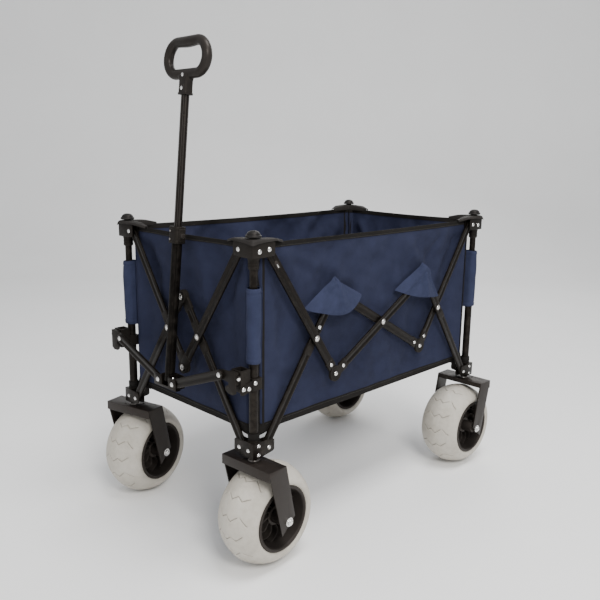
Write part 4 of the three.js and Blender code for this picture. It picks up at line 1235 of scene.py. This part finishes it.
# corner seams: black tape down each tub corner, and the seam allowance inside
for c, sx, sy in CORNERS:
    body = f"post_{c}"
    X, Y, k = PANEL_X, PANEL_Y, CHAMFER
    S = Matrix.Scale(sx, 4, (1, 0, 0)) @ Matrix.Scale(sy, 4, (0, 1, 0))
    pts = [(X - k * 0.30, Y - k * 0.72), (X - k * 0.5, Y - k * 0.5), (X - k * 0.72, Y - k * 0.28), (X - k * 0.93, Y - k * 0.09), (X - k - 1, Y + 0.1), (X - k - 5, Y + 0.25)]
    zz = np.linspace(TUB_Z0 - 1, TUB_Z1 - 2, 56)
    g = np.zeros((len(pts), len(zz), 3))
    for i, (a, b) in enumerate(pts):
        d = np.array([a, b]) - np.array([X - k * 1.4, Y - k * 1.4])
        d = d / np.linalg.norm(d)
        wob = 0.35 * np.sin(zz * 0.05 + sx) + 0.25 * np.sin(zz * 0.13 + sy)
        off = 0.9 + 0.5 * math.sin(math.pi * i / (len(pts) - 1))
        g[i, :, 0] = a + d[0] * off + wob * 0.4
        g[i, :, 1] = b + d[1] * off
        g[i, :, 2] = zz
    parts = [(xf(cloth(g, 0.9), S), TAPE)]
    # the tub's own cloth round the corner
    cpath = np.array([(X - k - 2, Y), (X - k + 3, Y - 0.2), (X - k * 0.80, Y - k * 0.14), (X - k * 0.64, Y - k * 0.34), (X - k * 0.5, Y - k * 0.5),
                      (X - k * 0.34, Y - k * 0.64), (X - k * 0.14, Y - k * 0.80), (X - 0.2, Y - k + 3), (X, Y - k - 2)], float)
    cz = np.r_[TUB_Z0, TUB_Z0 + 8.0, np.linspace(TUB_Z0 + 16.0, TUB_Z1 - 13.5, 40), TUB_Z1 - 8, TUB_Z1 - 2.5]
    cg = np.zeros((len(cpath), len(cz), 3))
    cg[..., 0] = cpath[:, 0][:, None] - 0.35 * np.sin(cz * 0.06)[None, :] * np.array([0, 0, 1, 1, 1, 1, 1, 0, 0])[:, None]
    cg[..., 1] = cpath[:, 1][:, None] - 0.35 * np.sin(cz * 0.05 + 1)[None, :] * np.array([0, 0, 1, 1, 1, 1, 1, 0, 0])[:, None]
    cg[..., 2] = cz[None, :]
    cparts = [(xf(cloth(cg[::-1], 0.9), S), NAVY)]
    ctop = band_from(cg[::-1], (len(cz) - 1, len(cz) - 3), 1.25, 2.3, 0.9, 2.2)
    cbot = band_from(cg[::-1], (0, 2), 1.25, 1.7, 0.9, 2.2)
    cparts += [(xf(cloth(ctop, 0.7), S), TAPE), (xf(cloth(cbot[:, ::-1], 0.7), S), TAPE)]
    co = piece(f"tub.corner_{c}", cparts, body, (), smooth=60)
    # inner seam fin
    ctr = np.array([X - k * 0.5, Y - k * 0.5])
    dd = np.array([-1, -1]) / math.sqrt(2)
    fin = np.zeros((4, len(zz), 3))
    for i in range(4):
        r = 1.5 + 7.0 * i / 3
        wob = 1.2 * np.sin(zz * 0.045 + 1.3 * sx) * i / 3
        fin[i, :, 0] = ctr[0] + dd[0] * r - wob
        fin[i, :, 1] = ctr[1] + dd[1] * r + wob
        fin[i, :, 2] = zz
    parts.append((xf(cloth(fin, 1.6), S), TAPE))
    piece(f"tub.corner_tape_{c}", parts, body, (), smooth=50)

    # saddle-shaped black tab that hangs the tub corner over the hub, under the cap
    NA = 61
    keys = [0.0, 0.25, 0.40, 0.455, 0.5, 0.545, 0.60, 0.75, 1.0]
    outer = [(-87, 1.4), (-54, 16.4), (-10, 18.7), (12, 18.8), (17.2, 17.2), (18.8, 12), (18.7, -10), (16.4, -54), (1.4, -87)]
    inner = [(-87, -5.6), (-54, -9.0), (-22, -10.5), (-14, -11.5), (-12, -12), (-11.5, -14), (-10.5, -22), (-9.0, -54), (-5.6, -87)]
    z_top = [777.6, 784.9, 786.4, 786.6, 786.4, 786.6, 786.4, 784.9, 777.6]
    z_drop = [773.0, 780.6, 780.2, 776.6, 773.2, 776.6, 780.2, 780.6, 773.0]
    flare = [0.3, 1.6, 3.2, 4.6, 6.4, 4.6, 3.2, 1.6, 0.3]
    tt = np.linspace(0, 1, NA)
    col = lambda arr, i_: np.interp(tt, keys, [q[i_] for q in arr])
    ox, oy, ix, iy = col(outer, 0), col(outer, 1), col(inner, 0), col(inner, 1)
    zt, zd, fl = np.interp(tt, keys, z_top), np.interp(tt, keys, z_drop), np.interp(tt, keys, flare)
    for arr in (ox, oy, ix, iy, zt, zd, fl):
        for _ in range(5):
            arr[1:-1] = 0.25 * arr[:-2] + 0.5 * arr[1:-1] + 0.25 * arr[2:]
    dirx, diry = ox - ix, oy - iy
    dl = np.hypot(dirx, diry)
    dirx, diry = dirx / dl, diry / dl
    rows = [(ix, iy, np.full(NA, 770.5)), (ix, iy, zt - 1.5)]
    for q in (0.05, 0.2, 0.4, 0.6, 0.8, 0.93):
        sag = 0.8 * math.sin(math.pi * q)
        rows.append((ix + (ox - ix) * q, iy + (oy - iy) * q, zt + sag * (1 - np.abs(tt - 0.5) * 2)))
    for q in (0.15, 0.4, 0.7, 1.0):
        rows.append((ox + dirx * fl * q ** 0.8, oy + diry * fl * q ** 0.8, zt - 0.5 + (zd - zt + 0.5) * q))
    tab = np.stack([np.stack(r_, axis=1) for r_ in rows], axis=1)
    T0 = Matrix.Translation((sx * POST_X, sy * POST_Y, 0)) @ S
    parts = [(xf(cloth(tab[:, ::-1], 1.1), T0), TAPE_LIGHT)]
    piece(f"tub.top_tab_{c}", parts, body, (), smooth=55)

    # lower corner: black reinforcement from the tub's bottom corner down to the hub, looped round the leg
    low = np.zeros((33, 9, 3))
    for i in range(33):
        a = -1 + 2 * i / 32
        t = abs(a)
        u_top = (-(13.0 + 73.0 * t), -2.4 + 0.6 * t)
        u_bot = (-(6.0 + 79.0 * t ** 1.1), -1.0 - 0.4 * t)
        if t < 0.2:
            b = t / 0.2
            u_top = (u_top[0] * b + -14.5 * (1 - b), u_top[1] * b + -14.5 * (1 - b))
            u_bot = (u_bot[0] * b + -11.6 * (1 - b), u_bot[1] * b + -11.6 * (1 - b))
        z_t = 352.0 - 14.0 * t
        z_b = 322.0 + 11.5 * min(1.0, t * 1.15)
        if a > 0:
            u_top, u_bot = u_top[::-1], u_bot[::-1]
        for j in range(9):
            q = j / 8
            low[i, j] = (u_top[0] + (u_bot[0] - u_top[0]) * q + 0.9, u_top[1] + (u_bot[1] - u_top[1]) * q + 0.9, z_t + (z_b - z_t) * q)
    for _ in range(2):
        low[1:-1] = 0.25 * low[:-2] + 0.5 * low[1:-1] + 0.25 * low[2:]
    parts = [(xf(cloth(low, 1.1), T0), TAPE)]
    lp = lathe([(11.9, 322.5), (13.2, 322.5), (13.7, 323.4), (13.7, 337.0), (13.2, 338.0), (11.9, 338.0)], 36, "z", (sx * POST_X, sy * POST_Y, 0))
    parts.append((lp, TAPE))
    piece(f"tub.bottom_tab_{c}", parts, body, (), smooth=50)

    # padded sleeve round the post, sewn to the tub corner behind it
    NU, NZ = 64, 60
    zs = np.linspace(505, 679, NZ)
    g = np.zeros((NU, NZ, 3))
    for j, z in enumerate(zs):
        endk = min(z - 505, 679 - z)
        for i in range(NU):
            a = 2 * math.pi * i / (NU - 1) + math.radians(225)
            web = max(0.0, math.cos(a - math.radians(225))) ** 10
            r = 15.6 + 0.5 * math.sin(3 * a + z * 0.021) + 0.35 * math.sin(z * 0.09 + 2 * a) + 0.5 * math.sin(z * 0.043)
            r += 0.7 * math.exp(-((endk - 9.0) / 3.0) ** 2) - 1.2 * math.exp(-((endk - 11.8) / 1.3) ** 2)
            r += 7.0 * web
            r -= 0.9 * max(0.0, 1 - endk / 3.0)
            zz_ = z + 1.3 * math.cos(a - 0.8) * (1 if z < 584 else -1) * max(0.0, 1 - endk / 40.0)
            g[i, j] = (r * math.cos(a), r * math.sin(a), zz_)
    g[-1] = g[0]
    # the sleeve uses the lighter navy copy: painted light on its convex face
    parts = [(xf(cloth(g[:, ::-1], 1.0), T0), NAVY_PAINTED_LIGHTER)]
    sl = piece(f"tub.sleeve_{c}", parts, body, (), smooth=60)
    a, b, area = flat_of(g)

# floor: two halves of the same cloth with a cross seam, and a sewn-in edge
for half_name, sx in (("front", 1), ("rear", -1)):
    X0, X1 = (0.0, PANEL_X - 2.5)
    xs = np.r_[np.linspace(X0, X1 - 27, 46), X1 - 18, X1 - 9, X1]
    ys = np.linspace(-1, 1, 45)
    g = np.zeros((len(xs), len(ys), 3))
    for i, x in enumerate(xs):
        lim = PANEL_Y - 1.6 - max(0.0, x - (X1 - 27 + 0.0)) * 0.98
        yy = ys * lim
        w = 0.42 * smooth_noise(np.full_like(yy, x * sx), yy, 71, 170.0) + 0.14 * smooth_noise(np.full_like(yy, x * sx), yy, 75, 60.0)
        edge = np.clip((lim - np.abs(yy)) / 40, 0, 1) * min(1.0, max(0.0, (X1 - x) / 40))
        seam = 0.35 * math.exp(-((x - 9.0) / 1.5) ** 2)
        g[i, :, 0], g[i, :, 1] = x, yy
        g[i, :, 2] = 338.9 + edge * w + seam
    S = Matrix.Scale(sx, 4, (1, 0, 0))
    body = f"post_{half_name}_left"
    if sx > 0:
        prim = cloth(g, 1.4)
    else:
        gg = g.copy()
        gg[..., 2] -= 2.6
        prim = xf(cloth(gg, 1.4), S)
    ob = piece(f"tub.floor_{half_name}", [(prim, NAVY)], body, (), smooth=60,
               squash=dict(joint="fold", axis=(0, 1, 0), anchor=(0.450 * sx, FLOOR_ANCHOR, 0.338), keep=FLOOR_KEEP))
    a, b, area = flat_of(g)

# hoods that cover the upper scissor joints: sewn to the side along their top edge, hem hanging free over the bars
HOODS = {
    "front": dict(top=[(287, 606), (252, 629), (218, 650), (194, 661.5), (181, 674), (170, 660.5), (152, 651), (118, 634), (77, 613)],
                  hem=[(287, 604, 255), (270, 597, 266), (244, 591, 277), (218, 584, 282), (190, 580, 284), (160, 580.5, 283), (128, 589, 276), (100, 601, 267), (77, 611, 255)],
                  joint=(X_J, Z_T), arms=[(X_HUB, Z_LOW), (-X_J, Z_J)], face=7.9, crease=(181, 674, 0.05)),
    "rear": dict(top=[(-68, 605), (-108, 626), (-156, 647), (-179, 657.5), (-192, 669), (-203, 654), (-218, 637), (-240, 607), (-262, 574)],
                 hem=[(-68, 603, 255), (-85, 595, 266), (-116, 585, 278), (-146, 578, 284), (-184, 573.5, 285), (-226, 566, 277), (-248, 565, 266), (-262, 571, 255)],
                 joint=(-X_J, Z_T), arms=[(X_J, Z_J), (-X_HUB, Z_LOW)], face=15.7, crease=(-192, 669, -0.05)),
}


def polyline(pts, t):
    """Points at fractions t of a polyline's length."""
    p = np.array(pts, float)
    s_ = np.r_[0, np.cumsum(np.linalg.norm(np.diff(p, axis=0), axis=1))]
    s_ = s_ / s_[-1]
    return np.stack([np.interp(t, s_, p[:, k]) for k in range(p.shape[1])], axis=1)


def clearance(x, z, joint, arms, face):
    """How far out (from the post plane) cloth has to stand to pass over the joint and its two bars."""
    j = np.array(joint, float)
    out = np.full_like(x, -50.0)

    def over(dist, height):
        return height + 1.5 - 1.5 * np.maximum(0.0, dist - 1.0)

    out = np.maximum(out, over(np.hypot(x - j[0], z - j[1]) - 20.6, face))
    out = np.maximum(out, over(np.hypot(x - j[0], z - j[1]) - 5.9, face + 2.8))
    for q in arms:
        d = np.array(q, float) - j
        d = d / np.linalg.norm(d)
        t = (x - j[0]) * d[0] + (z - j[1]) * d[1]
        s_ = np.abs(-(x - j[0]) * d[1] + (z - j[1]) * d[0])
        out = np.maximum(out, np.where(t > 0, over(s_ - 13.8, face), -50.0))
        r = j + d * 32.0
        out = np.maximum(out, over(np.hypot(x - r[0], z - r[1]) - 5.2, face + 2.4))
    return out


for side_name, sy in (("left", 1), ("right", -1)):
    for hn, h in HOODS.items():
        NA, NB = 81, 46
        ta = np.linspace(0, 1, NA)
        tb = np.linspace(0, 1, NB) ** 1.15
        top, hem = polyline(h["top"], ta), polyline(h["hem"], ta)
        for arr in (hem,):
            for _ in range(6):
                arr[1:-1] = 0.25 * arr[:-2] + 0.5 * arr[1:-1] + 0.25 * arr[2:]
        for _ in range(1):
            top[1:-1] = 0.25 * top[:-2] + 0.5 * top[1:-1] + 0.25 * top[2:]
        y0 = PANEL_Y + 1.0
        X3 = top[:, None, 0] + (hem[:, None, 0] - top[:, None, 0]) * tb[None, :]
        Z3 = top[:, None, 1] + (hem[:, None, 1] - top[:, None, 1]) * tb[None, :]
        f_ = 1 - (1 - tb) ** 1.55
        Y3 = y0 + (hem[:, None, 2] - y0) * f_[None, :]
        # gathered crease running down from the peak, with a soft ridge on each side of it
        cx, cz, lean = h["crease"]
        down = np.clip((cz - Z3), 0, 200)
        u_ = (X3 - cx) - lean * down
        fade = np.exp(-down / 34.0) * np.clip(down / 5.0, 0, 1)
        Y3 = Y3 + fade * (-9.5 * np.exp(-(u_ / (2.4 + 0.05 * down)) ** 2) + 9.5 * np.exp(-((u_ + 9.5) / (6.0 + 0.12 * down)) ** 2) + 8.5 * np.exp(-((u_ - 10.5) / (6.5 + 0.12 * down)) ** 2))
        Y3 = np.maximum(Y3, y0 + 0.9)
        Y3 = Y3 + np.sin(math.pi * ta)[:, None] * (1.5 * smooth_noise(X3, Z3, 91 + (hn == "rear") + 7 * (sy < 0), 74.0) + 0.5 * smooth_noise(X3, Z3, 95, 30.0)) * np.clip(tb * 6, 0, 1)[None, :]
        need = POST_Y + clearance(X3, Z3, h["joint"], h["arms"], h["face"])
        kk = 0.9
        Y3 = np.maximum(Y3, need) + kk * np.log1p(np.exp(-np.abs(Y3 - need) / kk))
        # turned hem: a flat double layer above a soft rolled edge
        Y3 = Y3 + 0.55 * (1 / (1 + np.exp(-(tb - 0.885) / 0.006)))[None, :] * np.clip(np.sin(math.pi * ta) * 3, 0, 1)[:, None]
        # the cloth is stitched down along its top edge
        pin = np.clip(tb / 0.035, 0, 1)[None, :]
        side_pin = np.clip(np.minimum(ta, 1 - ta) / 0.02, 0, 1)[:, None]
        Y3 = y0 + (Y3 - y0) * pin * side_pin
        g = np.stack([X3, Y3, Z3], axis=2)
        mir = Matrix.Scale(sy, 4, (0, 1, 0))
        # the hood uses the lighter navy copy: painted light on its upward-facing cloth
        parts = [(xf(cloth(g, 0.9), mir), NAVY_PAINTED_LIGHTER)]
        # stitches: one row along the hem, one row that holds the top edge
        for row, lift in ((int(np.argmin(np.abs(tb - 0.87))), 0.25), (1, 0.3)):
            line = g[:, row]
            tot = np.r_[0, np.cumsum(np.linalg.norm(np.diff(line, axis=0), axis=1))]
            nst = int(tot[-1] / 4.4)
            for i in range(2, nst - 2):
                s0, s1 = i * tot[-1] / nst, (i + 0.62) * tot[-1] / nst
                p0 = np.array([np.interp(s0, tot, line[:, k]) for k in range(3)]) + (0, lift, 0)
                p1 = np.array([np.interp(s1, tot, line[:, k]) for k in range(3)]) + (0, lift, 0)
                nn = np.array([0, 1.0, 0])
                w = np.array([0, 0, 0.4])
                mid = (p0 + p1) / 2 + nn * 0.5
                v = np.array([p0 + nn * 0.1 - w, p0 + nn * 0.1 + w, mid - w, mid + w, p1 + nn * 0.1 - w, p1 + nn * 0.1 + w, p0 - nn * 0.5, p1 - nn * 0.5])
                f = [(0, 2, 3, 1), (2, 4, 5, 3), (0, 1, 6), (4, 7, 5), (0, 6, 7, 4, 2), (1, 3, 5, 7, 6)]
                parts.append((xf(outward((v, f, None)), mir), THREAD))
        body = f"post_{hn}_{side_name}"
        ob = piece(f"tub.hood_{hn}_{side_name}", parts, body, (), smooth=60,
                   squash=dict(joint="fold", axis=(0, 1, 0), anchor=(0, sy * (y0 + (0.92 if hn == "front" else 0.0)) * MM, 0.6), keep=0.02))
        a, b, area = flat_of(g)


# ------------------------------------------------------------------ stage, light and camera
def stage_floor():
    me = bpy.data.meshes.new("studio_floor")
    n, R = 24, 9.0
    prof = [(-9, 0), (4.2, 0)]
    v, f = [], []
    # a floor that curves up far behind the cart
    pts = [(-6.0, 0.0)]
    xs = [6.0]
    line = [(6.0, 0.0), (-3.2, 0.0)] + [(-3.2 - 1.4 * math.sin(a), 1.4 - 1.4 * math.cos(a)) for a in np.linspace(0.1, math.pi / 2, 12)] + [(-4.6, 6.0)]
    ang = math.radians(44.8)
    for s in (-9.0, 9.0):
        for d, z in line:
            v.append((d * math.cos(ang) - s * math.sin(ang), d * math.sin(ang) + s * math.cos(ang), z))
    m = len(line)
    for j in range(m - 1):
        f.append((j, j + 1, m + j + 1, m + j))
    me.from_pydata(v, [], f)
    for p in me.polygons:
        p.use_smooth = True
    ob = bpy.data.objects.new("studio_floor", me)
    bpy.context.scene.collection.objects.link(ob)
    m = Mat("studio_floor")
    vec = m.coord("Object")
    n1 = m.noise(vec, 2.0, 3.0)
    m.set(Base_Color=m.ramp(n1, [(0.3, (0.925, 0.925, 0.92)), (0.7, (0.95, 0.95, 0.945))]), Roughness=0.8)
    me.materials.append(m.m)


stage_floor()


def area_light(name, loc, target, size, power, color=(1, 1, 1)):
    d = bpy.data.lights.new(name, "AREA")
    d.shape = "RECTANGLE"
    d.size, d.size_y = size
    d.energy = power
    d.color = color
    ob = bpy.data.objects.new(name, d)
    ob.location = loc
    ob.rotation_euler = (Vector(target) - Vector(loc)).to_track_quat("-Z", "Y").to_euler()
    bpy.context.scene.collection.objects.link(ob)


area_light("key", (1.5, 2.75, 2.7), (0.1, 0.1, 0.5), (1.1, 1.1), 92, (1.0, 0.985, 0.955))
area_light("front", (3.2, 0.2, 1.6), (0.2, 0, 0.45), (1.4, 1.4), 11, (0.98, 0.99, 1.0))
area_light("top", (0.1, 1.0, 3.3), (0, 0.15, 0.4), (1.6, 1.2), 84)
area_light("back", (-3.0, -1.4, 2.6), (0, 0, 0.5), (2.0, 2.0), 34)
world = bpy.data.worlds.new("studio")
world.use_nodes = True
bg = world.node_tree.nodes["Background"]
bg.inputs[0].default_value = (0.92, 0.93, 0.95, 1)
bg.inputs[1].default_value = 0.66
bpy.context.scene.world = world

yaw, pitch, roll, F_PX = math.radians(224.80), math.radians(-12.166), math.radians(0.741), 701.27
d = Vector((math.cos(yaw) * math.cos(pitch), math.sin(yaw) * math.cos(pitch), math.sin(pitch)))
r = d.cross(Vector((0, 0, 1))).normalized()
u = r.cross(d)
r2 = r * math.cos(roll) + u * math.sin(roll)
u2 = -r * math.sin(roll) + u * math.cos(roll)
cam = bpy.data.cameras.new("camera")
cam.sensor_width = 36.0
cam.lens = 36.0 * F_PX / 600.0
cam.clip_end = 100
cam_ob = bpy.data.objects.new("camera", cam)
rot = Matrix((r2, u2, -d)).transposed()
cam_ob.matrix_world = Matrix.Translation((1.4563, 1.3993, 0.9804)) @ rot.to_4x4()
bpy.context.scene.collection.objects.link(cam_ob)
bpy.context.scene.camera = cam_ob
